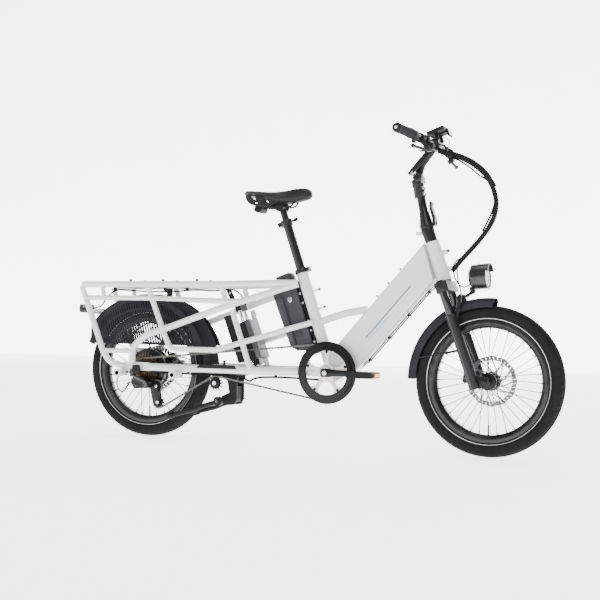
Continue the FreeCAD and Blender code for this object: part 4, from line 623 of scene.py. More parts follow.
def lathe_mesh(profile, centre, count):
    """A closed ring turned from (radius, side) points about a sideways axis."""
    return rings(profile, centre, count), ring_faces(count, len(profile))


def collar(name, inner, outer, half, base, direction, sides, material, body):
    """A plain ring round a cable or a tube."""
    turned(name, [(inner, -half), (outer, -half), (outer, half), (inner, half)], base, direction, sides, material,
           body, closed=True)


def tube_mesh(points, radius, sides=10):
    """A round tube through points, with ends closed by a fan."""
    vertices = []
    last = len(points) - 1
    normal = None
    for i, point in enumerate(points):
        along = (points[min(i + 1, last)] - points[max(i - 1, 0)]).normalized()
        if normal is None:
            normal = along.orthogonal().normalized()
        normal = (normal - along * normal.dot(along)).normalized()
        across = along.cross(normal)
        for k in range(sides):
            angle = TAU * k / sides
            vertices.append(point + (normal * math.cos(angle) + across * math.sin(angle)) * radius)
    faces = ring_faces(last + 1, sides, wrap_rings=False)
    faces.append(tuple(reversed(range(sides))))
    faces.append(tuple(last * sides + k for k in range(sides)))
    return vertices, faces


def evenly(points, count, closed=True):
    """That many points evenly spaced along a line, round it when it is closed, and the line's length."""
    spans = [(b - a).length for a, b in zip(points, points[1:] + points[:1] if closed else points[1:])]
    total = sum(spans)
    found = []
    i = 0
    passed = 0.0
    for k in range(count):
        goal = total * k / (count if closed else count - 1)
        while i < len(spans) - 1 and passed + spans[i] < goal:
            passed += spans[i]
            i += 1
        part = (goal - passed) / spans[i] if spans[i] else 0
        found.append(points[i].lerp(points[(i + 1) % len(points)], min(1, part)))
    return found, total


def smooth_route(points):
    """Points along the quadratic B-spline of a route, from its first point to its last."""
    data = bpy.data.curves.new("route", "CURVE")
    data.dimensions = "3D"
    spline = data.splines.new("NURBS")
    spline.points.add(len(points) - 1)
    for target, point in zip(spline.points, points):
        target.co = (*point, 1)
    spline.use_endpoint_u = True
    spline.order_u = 3
    spline.resolution_u = 10
    obj = put_in_scene("route", data)
    bpy.context.view_layer.update()
    mesh = bpy.data.meshes.new_from_object(obj)
    line = [v.co.copy() for v in mesh.vertices]
    bpy.data.meshes.remove(mesh)
    bpy.data.objects.remove(obj)
    bpy.data.curves.remove(data)
    return line


def cable_piece(name, points, radius, material, body, replaced=()):
    """A smooth cable through control points."""
    line = smooth_route(points)
    vertices, faces = tube_mesh(line, radius, 12)
    obj = piece(name, vertices, faces, material, body, replaced, None if replaced else "cable_plastic")
    return obj


# ---------------------------------------------------------------------------------------------------- wheels
STRIPE_INNER = WHEEL_RADIUS - 0.0465 - 0.0032 / 2
STRIPE_OUTER = WHEEL_RADIUS - 0.0465 + 0.0032 / 2
TREAD_EDGE = WHEEL_RADIUS - 0.0125
TREAD_BLOCKS = 64
TYRE_STEPS = 640
BEAD_RADIUS = WHEEL_RADIUS - 0.050
BEAD_HALF = 0.0185
SPOKES = 36
NIPPLE_SEAT = 0.186
ROTOR_ARMS = 12
ROTOR_RING = 0.0735
ROTOR_FOOT = 0.0335
ROTOR_SWEEP = 0.52


def tyre_profile():
    """The tyre's outside from bead to bead as (radius, side), tread in the middle."""
    r = WHEEL_RADIUS - 0.0008
    w = TYRE_HALF - 0.0004
    shape = [(r - 0.0515, 0.0215), (r - 0.047, 0.0262), (r - 0.036, 0.0295), (r - 0.024, w),
             (r - 0.0155, w - 0.0012), (r - 0.0095, 0.0262), (r - 0.0045, 0.0195), (r - 0.0015, 0.0125),
             (r, 0.0)]
    fine = []
    for (r1, s1), (r2, s2) in zip(shape, shape[1:]):
        steps = max(1, round(math.hypot(r2 - r1, s2 - s1) / 0.0024))
        for k in range(steps):
            part = k / steps
            fine.append((r1 + (r2 - r1) * part, s1 + (s2 - s1) * part))
    fine.append(shape[-1])
    return [(radius, -side) for radius, side in fine] + list(reversed(fine))[1:]


def tread_depth(angle, radius, side):
    """How deep the tread is cut at a place: wavy grooves between blocks, with shoulder sipes."""
    if radius <= TREAD_EDGE:
        return 0.0
    pitch = TAU / TREAD_BLOCKS
    wave = 0.0028 * math.sin(angle / pitch * TAU)
    if any(abs(side - middle) < 0.0014 for middle in (0.0075 + wave, -0.0075 + wave)):
        return 0.0020
    phase = (angle / pitch + (0.5 if side > 0 else 0.0) + abs(side) * 34) % 1.0
    if 0.0088 < abs(side) < 0.0272 and phase < 0.2:
        return 0.0019
    if abs(side) < 0.0058 and ((angle / pitch + side * 40) % 1.0) < 0.1:
        return 0.0012
    return 0.0


def make_tyre(prefix, centre):
    """A tyre with its tread, the pale stripes and the raised ribs of its sides."""
    body = prefix + "_wheel"
    profile = tyre_profile()
    vertices = rings(profile, centre, TYRE_STEPS, tread_depth)
    start = len(vertices)
    vertices += rings([(BEAD_RADIUS, BEAD_HALF), (BEAD_RADIUS, -BEAD_HALF)], centre, TYRE_STEPS)
    m = len(profile)
    faces = []
    for i in range(TYRE_STEPS):
        j = (i + 1) % TYRE_STEPS
        for k in range(m - 1):
            faces.append((i * m + k, i * m + k + 1, j * m + k + 1, j * m + k))
        a, b = start + i * 2, start + j * 2
        faces.append((i * m + m - 1, a, b, j * m + m - 1))
        faces.append((a, a + 1, b + 1, b))
        faces.append((a + 1, i * m, j * m, b + 1))
    piece(prefix + "_tyre_tread", vertices, faces, "tyre_rubber", body, (prefix + "_tyre",))
    for word, way in SIDES:
        band = [(STRIPE_INNER, way * 0.0258), (STRIPE_OUTER, way * 0.0276), (STRIPE_OUTER, way * 0.0266),
                (STRIPE_INNER, way * 0.0246)]
        piece(f"{prefix}_stripe_{word}", *lathe_mesh(band, centre, 240), "reflective_stripe", body, slot="tyre_rubber")
    for word, way in SIDES:
        for k, depth in enumerate((0.0335, 0.0405)):
            foot = WHEEL_RADIUS - depth
            rib = [(foot, way * 0.0296), (foot + 0.0016, way * 0.0300), (foot + 0.0016, way * 0.0285),
                   (foot, way * 0.0265)]
            piece(f"{prefix}_rib_{word}_{k + 1}", *lathe_mesh(rib, centre, 240), "tyre_rubber", body,
                  slot="tyre_rubber")


def make_nipples(prefix, centre):
    """Spoke nipples on the inside of the rim."""
    vertices, faces = [], []
    for i in range(SPOKES):
        side = 1 if i % 2 else -1
        angle = TAU * i / SPOKES
        out = Vector((math.cos(angle), 0, math.sin(angle)))
        start = centre + out * (NIPPLE_SEAT - 0.011) + LEFT * side * 0.0048
        end = centre + out * (NIPPLE_SEAT + 0.0005) + LEFT * side * 0.0042
        add_mesh(vertices, faces, tube_mesh([start, start.lerp(end, 0.3), end], 0.0023, 6))
    piece(prefix + "_nipples", vertices, faces, "spoke_steel", prefix + "_wheel", slot="spoke_steel")


def make_rotor(prefix, centre):
    """A brake rotor: a wavy braking ring on swept arms, with slots along the ring."""
    low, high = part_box(prefix + "_rotor")
    outline = [around(0.0886 + 0.0014 * math.cos(ROTOR_ARMS * TAU * k / 240), TAU * k / 240) for k in range(240)]
    holes = [[around(0.0205, TAU * k / 48) for k in range(48)]]

    def arm(end, k):
        """A place on an arm's edge that starts at that angle on the ring, k sixths of the way in."""
        return around(ROTOR_RING - 0.040 * k / 6, end - ROTOR_SWEEP * (k / 6) ** 1.3)

    for i in range(ROTOR_ARMS):
        start, end = TAU * (i + 0.085) / ROTOR_ARMS, TAU * (i + 0.915) / ROTOR_ARMS
        span = end - start
        outer = [around(ROTOR_RING + 0.0012 * math.cos(ROTOR_ARMS * (start + span * k / 12)), start + span * k / 12)
                 for k in range(13)]
        narrow = [around(ROTOR_FOOT, end - ROTOR_SWEEP - span * (0.12 + 0.76 * k / 5)) for k in range(6)]
        holes.append(outer + [arm(end, k) for k in range(1, 6)] + narrow + [arm(start, k) for k in range(5, 0, -1)])
    near, far, shift = 0.0768, 0.0852, 0.045
    for i in range(36):
        angle = TAU * (i + 0.5) / 36
        holes.append([around(near, angle - 0.018), around(near, angle + 0.012), around(far, angle + 0.012 + shift),
                      around(far, angle - 0.018 + shift)])
    sheet_piece(prefix + "_rotor_disc", outline, holes, facing(centre), low.y, high.y, "rotor_steel",
                prefix + "_wheel", (prefix + "_rotor",))
    for i in range(6):
        spot = about(centre, TAU * i / 6, 0.0265, 0)
        spot.y = high.y
        bolt_head(f"{prefix}_rotor_bolt_{i + 1}", spot, LEFT, 0.0034, prefix + "_wheel", "black_metal", 0.002)


def make_wheels():
    """Both wheels: tyres, nipples, rotors, rims, spokes and hubs."""
    for prefix, centre in (("rear", REAR_AXLE), ("front", FRONT_AXLE)):
        make_tyre(prefix, centre)
        make_nipples(prefix, centre)
        make_rotor(prefix, centre)
        paint_node(prefix + "_rim", "rim_metal", 0.0004)
        paint_node(prefix + "_spokes", "spoke_steel", 0)
    paint_node("hub_motor", "black_metal", 0.0008)
    paint_node("front_hub", "black_metal", 0.0006)


# ----------------------------------------------------------------------------------------------------- chain
CHAIN_PITCH = 0.0127
CHAIN_SIDE = (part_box("chain")[0].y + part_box("chain")[1].y) / 2


def pitch_radius(teeth):
    """The pitch radius of a chain wheel."""
    return CHAIN_PITCH / 2 / math.sin(math.pi / teeth)


def chain_route():
    """Points evenly along the chain's line round its wheels."""
    wheels = [(CRANK, pitch_radius(52), 1), (IDLER, pitch_radius(13), -1), (TENSION, pitch_radius(11), 1),
              (GUIDE, pitch_radius(11), -1), (REAR_AXLE, pitch_radius(20), 1)]
    joins = []
    for (a, radius_a, sense_a), (b, radius_b, sense_b) in zip(wheels, wheels[1:] + wheels[:1]):
        span = b - a
        heading = math.atan2(span.z, span.x)
        flat = math.hypot(span.x, span.z)
        normal = heading + math.pi / 2 - math.asin((radius_a * sense_a - radius_b * sense_b) / flat)
        out = Vector((math.cos(normal), 0, math.sin(normal)))
        joins.append((a + out * radius_a * sense_a, b + out * radius_b * sense_b, normal))
    points = []
    for i, (start, end, normal) in enumerate(joins):
        centre, radius, sense = wheels[(i + 1) % len(wheels)]
        next_normal = joins[(i + 1) % len(wheels)][2]
        turn = next_normal - normal
        while sense > 0 and turn > 0:
            turn -= TAU
        while sense < 0 and turn < 0:
            turn += TAU
        points += [start.lerp(end, k / 40) for k in range(40)]
        for k in range(40):
            angle = normal + turn * k / 40
            points.append(centre + Vector((math.cos(angle), 0, math.sin(angle))) * radius * sense)
    for point in points:
        point.y = CHAIN_SIDE
    return points


def link_plate(a, b, side, thickness, half, vertices, faces):
    """One figure-of-eight side plate between two pins."""
    along = (b - a).normalized()
    across = Vector((-along.z, 0, along.x))
    outline = []
    for centre, start in ((a, math.pi / 2), (b, -math.pi / 2)):
        for k in range(7):
            angle = start + math.pi * k / 6
            outline.append(centre + along * math.cos(angle) * half + across * math.sin(angle) * half)
    waist_low = (a + b) / 2 - across * half * 0.62
    waist_high = (a + b) / 2 + across * half * 0.62
    outline = outline[:7] + [waist_low] + outline[7:] + [waist_high]
    plate = [p + LEFT * (side + offset) for offset in (-thickness / 2, thickness / 2) for p in outline]
    add_mesh(vertices, faces, (plate, prism_faces(len(outline))))


def make_chain():
    """The chain's links and pins, evenly round its route."""
    points, total = evenly(chain_route(), 2000)
    count = round(total / CHAIN_PITCH / 2) * 2
    pins, _ = evenly(points, count)
    vertices, faces = [], []
    for i, pin in enumerate(pins):
        following = pins[(i + 1) % count]
        offset = 0.0021 if i % 2 else 0.0030
        for side in (-offset, offset):
            link_plate(pin, following, side, 0.0009, 0.0041, vertices, faces)
        add_mesh(vertices, faces, tube_mesh([pin - LEFT * 0.0036, pin + LEFT * 0.0036], 0.0016, 8))
    piece("chain_links", vertices, faces, "chain_steel", "frame", ("chain",))


def make_spider():
    """A cast five-armed spider with curved windows, and its hub and bolts."""
    outline = [around(0.0888, TAU * k / 180) for k in range(180)]
    holes = [[around(0.0135, TAU * k / 40) for k in range(40)]]
    widths = [(0.034, 0.0110), (0.040, 0.0086), (0.048, 0.0076), (0.056, 0.0078), (0.064, 0.0092), (0.071, 0.0124),
              (0.077, 0.0176), (0.0812, 0.0236)]
    for i in range(5):
        middle = TAU * (i + 0.5) / 5 + math.pi / 2
        edge = [(reach, TAU / 10 - math.asin(half / reach)) for reach, half in widths]
        rise = [around(reach, middle + turn) for reach, turn in edge]
        fall = [around(reach, middle - turn) for reach, turn in reversed(edge)]
        top = edge[-1][1]
        crest = [around(0.0838, middle + top * (1 - k / 5)) for k in range(1, 10)]
        foot = edge[0][1]
        base = [around(0.0322, middle - foot * (1 - k / 3)) for k in range(1, 6)]
        holes.append(rise + crest + fall + base)
    soften(sheet_piece("crank_spider_star", outline, holes, facing(CRANK), -0.0628, -0.0586, "spider_alloy", "crank",
                       ("crank_spider",)), 0.0007)
    hub = CRANK.copy()
    hub.y = -0.0600
    turned("spider_hub", [(0.0135, 0.0), (0.0300, 0.0), (0.0300, 0.0040), (0.0262, 0.0062), (0.0200, 0.0066),
                          (0.0135, 0.0066)], hub, -LEFT, 60, "spider_alloy", "crank", ("crank_spider",), closed=True)
    for i in range(5):
        angle = TAU * i / 5 + math.pi / 2
        spot = facing(CRANK)(*around(0.0762, angle), -0.0626)
        bolt_head(f"ring_bolt_{i + 1}", spot, -LEFT, 0.0056, "crank", "black_metal", 0.0024)
    face = Vector((CRANK.x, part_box("chainring")[0].y, CRANK.z))
    inner = [(0.0806, 0.0), (0.0990, 0.0), (0.0990, 0.0012), (0.0972, 0.0024), (0.0820, 0.0024), (0.0806, 0.0014)]
    turned("ring_guard_inner", inner, Vector((CRANK.x, -0.0630, CRANK.z)), -LEFT, 120, "ring_black", "crank",
           slot="black_plastic", closed=True)
    edge = [(0.0985, 0.0), (0.1105, 0.0), (0.1125, -0.0012), (0.1125, 0.0006), (0.1108, 0.0012), (0.0988, 0.0012)]
    turned("ring_guard_lip", edge, face, -LEFT, 120, "ring_black", "crank", slot="black_plastic", closed=True)


def make_drivetrain():
    """The chain, its wheels, the pedals and the brake calipers."""
    make_chain()
    make_spider()
    paint_node("crank_arms", "black_metal", 0.0012)
    paint_node("chainring", "ring_black", 0.0006)
    paint_node("freewheel", "cog_steel", 0)
    for node in ("idler_pulley", "upper_jockey_wheel", "lower_jockey_wheel"):
        paint_node(node, "black_plastic", 0.0004)
    paint_node("rear_derailleur", "black_metal", 0.0008)
    paint_node("rear_axle", "hardware_steel", 0.0005)
    for node in ("rear_caliper", "front_caliper"):
        paint_node(node, "black_metal", 0.0006)
    for word, _ in SIDES:
        recolour(word + "_pedal", lambda a, b: "black_plastic" if (b - a).x > 0.02 else "amber_lens", 0.0008)
    for i in range(5):
        spot = about(CRANK, TAU * (i / 5) + math.pi / 2, 0.0865, 0)
        spot.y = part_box("chainring")[0].y + 0.0006
        bolt = piece(f"chainring_bolt_{i + 1}", *tube_mesh([spot, spot - LEFT * 0.0026], 0.0075 * 0.62, 12),
                     "hardware_steel", "crank", slot="hardware_steel")
        soften(bolt, 0.0005)


# ---------------------------------------------------------------------------------------------------- saddle
SADDLE_PROFILE = [(0.418, 0.939, 0.931, 0.030), (0.423, 0.945, 0.929, 0.055), (0.434, 0.950, 0.929, 0.078),
                  (0.455, 0.9505, 0.930, 0.093), (0.478, 0.948, 0.930, 0.093), (0.500, 0.9465, 0.927, 0.088),
                  (0.520, 0.9465, 0.915, 0.076), (0.545, 0.948, 0.903, 0.058), (0.565, 0.951, 0.9015, 0.045),
                  (0.585, 0.954, 0.902, 0.037), (0.605, 0.958, 0.904, 0.032), (0.622, 0.9605, 0.907, 0.029),
                  (0.640, 0.9612, 0.911, 0.027), (0.655, 0.960, 0.914, 0.025), (0.666, 0.956, 0.918, 0.021),
                  (0.673, 0.949, 0.924, 0.014), (0.6765, 0.941, 0.932, 0.005)]


def saddle_section(x):
    """Top, bottom and half width of the padding at a station, run smoothly through the profile."""
    rows = SADDLE_PROFILE
    k = max(i for i in range(len(rows) - 1) if rows[i][0] <= x + 1e-9)
    before, a, b, after = rows[max(k - 1, 0)], rows[k], rows[k + 1], rows[min(k + 2, len(rows) - 1)]
    t = (x - a[0]) / (b[0] - a[0])
    found = []
    for n in (1, 2, 3):
        first = (b[n] - before[n]) / (b[0] - before[0]) * (b[0] - a[0])
        last = (after[n] - a[n]) / (after[0] - a[0]) * (b[0] - a[0])
        found.append((2 * t ** 3 - 3 * t ** 2 + 1) * a[n] + (t ** 3 - 2 * t ** 2 + t) * first
                     + (3 * t ** 2 - 2 * t ** 3) * b[n] + (t ** 3 - t ** 2) * last)
    return found


SADDLE_STATIONS = 56
SADDLE_RING = 40
SHELL_OUTLINE = [(0.421, 0.936), (0.423, 0.921), (0.436, 0.907), (0.451, 0.897), (0.478, 0.8895), (0.505, 0.889),
                 (0.524, 0.892), (0.538, 0.899), (0.556, 0.904), (0.556, 0.920), (0.530, 0.932), (0.480, 0.936)]
SHELL_OPENINGS = [[(0.456, 0.929), (0.458, 0.924), (0.466, 0.9165), (0.475, 0.915), (0.4765, 0.919), (0.468, 0.929)],
                  [(0.503, 0.9165), (0.506, 0.922), (0.515, 0.9225), (0.520, 0.917)],
                  [(0.5015, 0.903), (0.504, 0.909), (0.520, 0.910), (0.523, 0.904)],
                  [(0.468, 0.901), (0.472, 0.9045), (0.480, 0.905), (0.480, 0.901)]]


def saddle_points():
    """The padding's points, ring by ring from the tail to the nose, with a soft channel along the top."""
    start, end = SADDLE_PROFILE[0][0], SADDLE_PROFILE[-1][0]
    points = []
    for i in range(SADDLE_STATIONS):
        t = i / (SADDLE_STATIONS - 1)
        t = 0.5 - 0.5 * math.cos(math.pi * (0.12 + 0.76 * t)) / math.cos(math.pi * 0.12)
        x = start + (end - start) * min(max(t, 0), 1)
        top, bottom, width = saddle_section(x)
        middle = bottom + (top - bottom) * 0.45
        for k in range(SADDLE_RING):
            angle = TAU * k / SADDLE_RING
            c, s = math.cos(angle), math.sin(angle)
            y = width * math.copysign(abs(c) ** 0.72, c)
            if s >= 0:
                z = middle + (top - middle) * s ** 0.85
                z -= 0.0032 * math.exp(-(y / 0.011) ** 2) * max(0.0, math.sin(math.pi * t)) ** 0.6
            else:
                z = middle - (middle - bottom) * abs(s) ** 0.55
                y *= 1 - 0.16 * abs(s)
            points.append(station(x, y, z))
    return points


def make_saddle():
    """The padded saddle: wide tail, thick raised nose, soft channel on top, side openings in its shell."""
    points = saddle_points()
    ring, last = SADDLE_RING, (SADDLE_STATIONS - 1) * SADDLE_RING
    faces = []
    for i in range(0, last, ring):
        for k in range(ring):
            n = (k + 1) % ring
            faces.append((i + k, i + ring + k, i + ring + n, i + n))
    faces.append(tuple(range(ring)))
    faces.append(tuple(reversed(range(last, last + ring))))
    cover = piece("saddle_padding", points, faces, "saddle_skin", "saddle", ("saddle_cover",))
    sub = cover.modifiers.new("soft", "SUBSURF")
    sub.levels = 1
    sub.render_levels = 1
    for word, way in reversed(SIDES):
        seam = [Vector((p.x, p.y * way, p.z - 0.002)) for p in points[2 * ring + 1:last - ring:ring]]
        piece(f"saddle_seam_{word}", *tube_mesh(seam, 0.0009, 6), "saddle_skin", "saddle",
              slot=SLOT_OF["saddle_cover"])

        def beside(u, v, depth, way=way):
            """A point of the shell's side, which leans in toward the bottom and the nose."""
            reach = 0.066 - 0.30 * max(0.0, 0.930 - v) - 0.34 * max(0.0, u - 0.500) - 0.9 * max(0.0, 0.445 - u)
            return station(u, way * (reach + depth), v)

        sheet_piece(f"saddle_shell_{word}", SHELL_OUTLINE, SHELL_OPENINGS, beside, -0.0015, 0.0015, "black_plastic",
                    "saddle", slot=SLOT_OF["saddle_base"])
    paint_node("saddle_base", "black_plastic", 0.0006)


def make_seat_clamp_knob():
    """The rubber knob and the brass nut at the tip of the upper seat lever."""
    low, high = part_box("upper_clamp_lever")
    tip = Vector((high.x, (low.y + high.y) / 2, high.z - 0.005))
    way = Vector((1, 0, 0.36)).normalized()
    knob = [(0.0001, -0.012), (0.0058, -0.012), (0.0066, -0.009), (0.0066, -0.001), (0.0050, 0.002), (0.0001, 0.002)]
    turned("clamp_knob", knob, tip, way, 24, "black_plastic", "upper_clamp_lever")
    nut = [(0.0001, -0.022), (0.0052, -0.022), (0.0052, -0.014), (0.0001, -0.014)]
    turned("clamp_brass_nut", nut, tip, way, 6, "brass", "upper_clamp_lever")


# ---------------------------------------------------------------------------------------------------- cables
LOOM_ROUTE = [(1.163, 1.079), (1.196, 1.068), (1.249, 1.052), (1.300, 1.022), (1.343, 0.983),
              (1.369, 0.930), (1.378, 0.880), (1.366, 0.828), (1.335, 0.778), (1.292, 0.729),
              (1.257, 0.693), (1.222, 0.650)]
LOOM_RADIUS = 0.0082


def make_loom():
    """The cable loom from the handlebar down to the head tube, with its spiral wrap."""
    points = [station(x, 0, z) for x, z in LOOM_ROUTE]
    line = smooth_route(points)
    length = sum((b - a).length for a, b in zip(line, line[1:]))
    turns = int(length / 0.0085)
    fine, _ = evenly(line, turns * 12, closed=False)
    wrap = []
    for i, point in enumerate(fine):
        heading = (fine[min(i + 1, len(fine) - 1)] - fine[max(i - 1, 0)]).normalized()
        across = heading.cross(LEFT).normalized()
        angle = TAU * i / 12
        wrap.append(point + (across * math.cos(angle) + LEFT * math.sin(angle)) * (LOOM_RADIUS + 0.0012))
    vertices, faces = tube_mesh(wrap, 0.0017, 5)
    spiral = piece("loom_wrap", vertices, faces, "wrap_plastic", ACROSS_FOLD, slot="cable_plastic")
    cable_piece("cable_loom", points, LOOM_RADIUS, "cable_plastic", ACROSS_FOLD, ("cables",))


# ---------------------------------------------------------------------------------------------- wheel guards
GUARD_CLIPS = ((0.066, 0.530, 0.027), (-0.166, 0.371, 0.034), (0.123, 0.395, 0.022))
GUARD_RADIUS = 0.2838
GUARD_FOOT = 0.0952
SLOT_PITCH = 0.0108
SLOT_HALF = 0.0024


def make_guards():
    """The wheel guards: thin panels with bands of narrow slanted slots, and their clips."""
    first = math.pi - math.atan2(0.1638, 0.232)
    last = math.atan2(0.095, 0.2676)
    outline = [around(GUARD_RADIUS, first + (last - first) * k / 90) for k in range(91)]
    outline += [(0.2676, GUARD_FOOT), (-0.2318, GUARD_FOOT)]
    holes = []
    lean = math.radians(16)
    for near, far in ((0.236, 0.263), (0.192, 0.229), (0.146, 0.185), (0.100, 0.139)):
        for i in range(-25, 26):
            slot = []
            for offset, upward in ((i * SLOT_PITCH - SLOT_HALF, True), (i * SLOT_PITCH + SLOT_HALF, False)):
                if abs(offset) > far - 0.004:
                    break
                low = math.sqrt(max(near * near - offset * offset, 0))
                low = max(low, (0.1025 - offset * math.sin(lean)) / math.cos(lean))
                high = math.sqrt(far * far - offset * offset)
                ends = (low, high) if upward else (high, low)
                slot += [(offset * math.cos(lean) - reach * math.sin(lean),
                          offset * math.sin(lean) + reach * math.cos(lean)) for reach in ends]
            if len(slot) < 4 or slot[1][1] - slot[0][1] < 0.008 or slot[2][1] - slot[3][1] < 0.008:
                continue
            clear = all(-0.2250 < x < 0.2600 for x, z in slot)
            along = [Vector(slot[0]).lerp(Vector(slot[1]), k / 6) for k in range(7)]
            clip = any((spot - Vector((x, z - 0.265))).length < 0.013 for spot in along for x, z, _ in GUARD_CLIPS)
            if clear and not clip:
                holes.append(slot)
    for word, way in SIDES:
        made_of = ("guard_plastic", "frame", ("wheel_guards",))
        sheet_piece("guard_panel_" + word, outline, holes, facing(REAR_AXLE), *sorted((way * 0.0740, way * 0.0765)),
                    *made_of)
        for k, (x, z, reach) in enumerate(GUARD_CLIPS):
            clip = [(0.0010, 0), (0.0075, 0.0), (0.0075, 0.0030), (0.0048, 0.0042), (0.0048, reach)]
            turned(f"guard_clip_{word}_{k + 1}", clip, station(x, way * 0.0758, z), LEFT * way, 20, *made_of)
        rim = [around(GUARD_RADIUS - 0.0002, first + (last - first) * k / 60) for k in range(61)]
        line = [facing(REAR_AXLE)(x, z, way * 0.0752) for x, z in rim]
        piece("guard_edge_" + word, *tube_mesh(line, 0.0024, 8), *made_of)


# ------------------------------------------------------------------------------------------------ whole frame
def is_cover(place):
    """Whether a place is on the controller's side cover."""
    at = CONTROL.local(place)
    return at.x > 0.0135 and at.z < 0.067


def is_rod(place):
    """Whether a place is on the bright rod above the controller."""
    at = CONTROL.local(place)
    return 0.0662 < at.z < 0.1118 and abs(at.x - 0.002) < 0.0076


def is_socket_bore(place):
    """Whether a place is inside a running-board socket, whose bore is painted near-black as shade."""
    return any(math.hypot(place.x - station(x, 0, 0).x, place.z - station(0, 0, 0.249).z) < 0.0095
               for x in (-0.065, 0.178)) and abs(place.y) > 0.085


def is_knob(place):
    """Whether a place is on the crown's bright bolt."""
    at = POST.local(place)
    return at.x < -0.0235 and abs(at.y) < 0.0065 and abs(at.z + 0.010) < 0.0065


def is_stanchion(place):
    """Whether a place is on a stanchion, below the fork's crown."""
    at = HEAD.local(place)
    return at.z < -0.0435


def hardware_colour(low, high):
    """Paint for the bosses, bare steel for the deck's bolts."""
    wide = high.y - low.y
    deck_bolt = 0.59 < low.z < 0.606 and high.z - low.z < 0.008
    return "frame_paint" if wide < 0.014 and not deck_bolt else "hardware_steel"


def make_frame():
    """The frame's paint, the fenders, the battery, the post, the fork and the controls."""
    for node in ("main_frame", "chainstays", "rack_sides", "cross_tubes"):
        paint_node(node, "frame_paint", 0)
        smooth(NODES[node], 38)
    for node in ("rear_fender", "front_fender"):
        paint_node(node, "guard_plastic", 0.0008)
    make_guards()
    paint_node("battery", "battery_plastic", 0.0015)
    paint_node("battery_dock", "black_plastic", 0.0006)
    paint_node("controller_box", "black_plastic", 0.001)
    retint(NODES["controller_box"], "cover_grey", is_cover)
    retint(NODES["controller_box"], "chrome", is_rod)
    # Painted shade: the bores of the running-board sockets get the near-black seam colour, standing in for the shade
    # inside the holes.
    retint(NODES["chainstays"], "seam_dark_and_bore_shade", is_socket_bore)
    for node in ("seat_collar", "handlepost", "post_latch", "stem_arm", "stem_lever", "handlebar", "shifter_lever",
                 "seatpost_outer", "seatpost_inner", "lower_clamp_lever", "upper_clamp_lever"):
        paint_node(node, "black_metal", 0.0008)
    for node, material, width in (
            ("right_brake_lever", "grip_rubber", 0.0008), ("left_brake_lever", "grip_rubber", 0.0008),
            ("kickstand_bracket", "black_plastic", 0.0012), ("kickstand_legs", "black_plastic", 0.0012),
            ("fork_crown", "fork_metal", 0.001), ("fork_lowers", "fork_metal", 0.001),
            ("throttle", "black_plastic", 0.0006)):
        paint_node(node, material, width)
    recolour("frame_hardware", hardware_colour, 0.0004)
    retint(NODES["fork_crown"], "chrome", is_knob)
    retint(NODES["fork_crown"], "stanchion_black", is_stanchion)
    recolour("cockpit_controls", lambda a, b: "black_plastic", 0.0008)
    recolour("tail_light", lambda a, b: "red_lens" if (b - a).x < 0.008 else "lamp_plastic", 0.0008)
    recolour("headlight", lambda a, b: "clear_lens" if (b - a).x < 0.02 else "lamp_plastic", 0.001)


# ------------------------------------------------------------------------------------------- trim and fittings
def make_grips():
    """Ribbed rubber grips with an inner flange and a silver end plug."""
    for word, way in SIDES:
        bend = station(BAR_BEND[0], way * BAR_BEND[1], BAR_BEND[2])
        end = station(BAR_END[0], way * BAR_END[1], BAR_END[2])
        along = (end - bend).normalized()
        base = bend.lerp(end, (GRIP_START - BAR_BEND[1]) / (BAR_END[1] - BAR_BEND[1]))
        profile = [(0.0112, 0.0), (0.0186, 0.0006), (0.0186, 0.004), (0.0166, 0.0058)]
        reach = 0.0085
        while reach < 0.098:
            profile += [(0.0163, reach), (0.0163, reach + 0.0020), (0.0150, reach + 0.0026), (0.0150, reach + 0.0036)]
            reach += 0.0044
        profile += [(0.0166, 0.0995), (0.0168, 0.1035), (0.0145, 0.1070), (0.0112, 0.1074)]
        turned(word + "_grip", profile, base, along, 40, "grip_rubber", "stem", ("grips",))
        tip = base + along * 0.1070
        plug = [(0.0112, -0.002), (0.0152, 0.0), (0.0158, 0.0012), (0.0144, 0.0034), (0.004, 0.0038)]
        turned(word + "_bar_plug", plug, tip, along, 28, "black_plastic", "stem")
        cap = [(0.002, 0.0030), (0.0052, 0.0030), (0.0052, 0.0046), (0.0042, 0.0052), (0.001, 0.0055)]
        turned(word + "_plug_cap", cap, tip, along, 24, "chrome", "stem")


def make_headlight_inside():
    """The lamp's reflector dish, its light source and the lens ribs."""
    middle, ahead = LAMP.out(0, 0, 0), LAMP.way(1, 0, 0)
    dish = [(0.0394, 0.0212), (0.0364, 0.0158), (0.0290, 0.0092), (0.0170, 0.0048), (0.0080, 0.0034),
            (0.0080, 0.0028), (0.0172, 0.0040), (0.0296, 0.0084), (0.0372, 0.0152), (0.0398, 0.0212)]
    turned("lamp_dish", dish, middle, ahead, 64, "reflector_silver", "headlight", closed=True)
    turned("lamp_source", [(0.0075, 0.0030), (0.0075, 0.0050), (0.0060, 0.0085), (0.0030, 0.0102), (0.0008, 0.0106)],
           middle, ahead, 24, "led_warm", "headlight")
    for k in range(-5, 6):
        height = k * 0.0066
        half = math.sqrt(0.0385 ** 2 - height ** 2)
        line = [LAMP.out(0.0270 + 0.0004 * math.cos(i / 8 * math.pi), -half + 2 * half * i / 8, height)
                for i in range(9)]
        piece(f"lens_rib_{k + 6}", *tube_mesh(line, 0.0011, 6), "clear_lens", "headlight", slot="lamp_plastic")
    rim = [(0.0400, 0.0245), (0.0440, 0.0245), (0.0440, 0.0285), (0.0424, 0.0300), (0.0400, 0.0292)]
    turned("lamp_bezel", rim, middle, ahead, 64, "lamp_plastic", "headlight", closed=True)
    for k, reach in enumerate((-0.0195, -0.0130, -0.0065)):
        band = [(0.0438, reach), (0.0449, reach + 0.0006), (0.0449, reach + 0.0022), (0.0438, reach + 0.0028)]
        turned(f"lamp_fin_{k + 1}", band, middle, ahead, 64, "lamp_plastic", "headlight", closed=True)


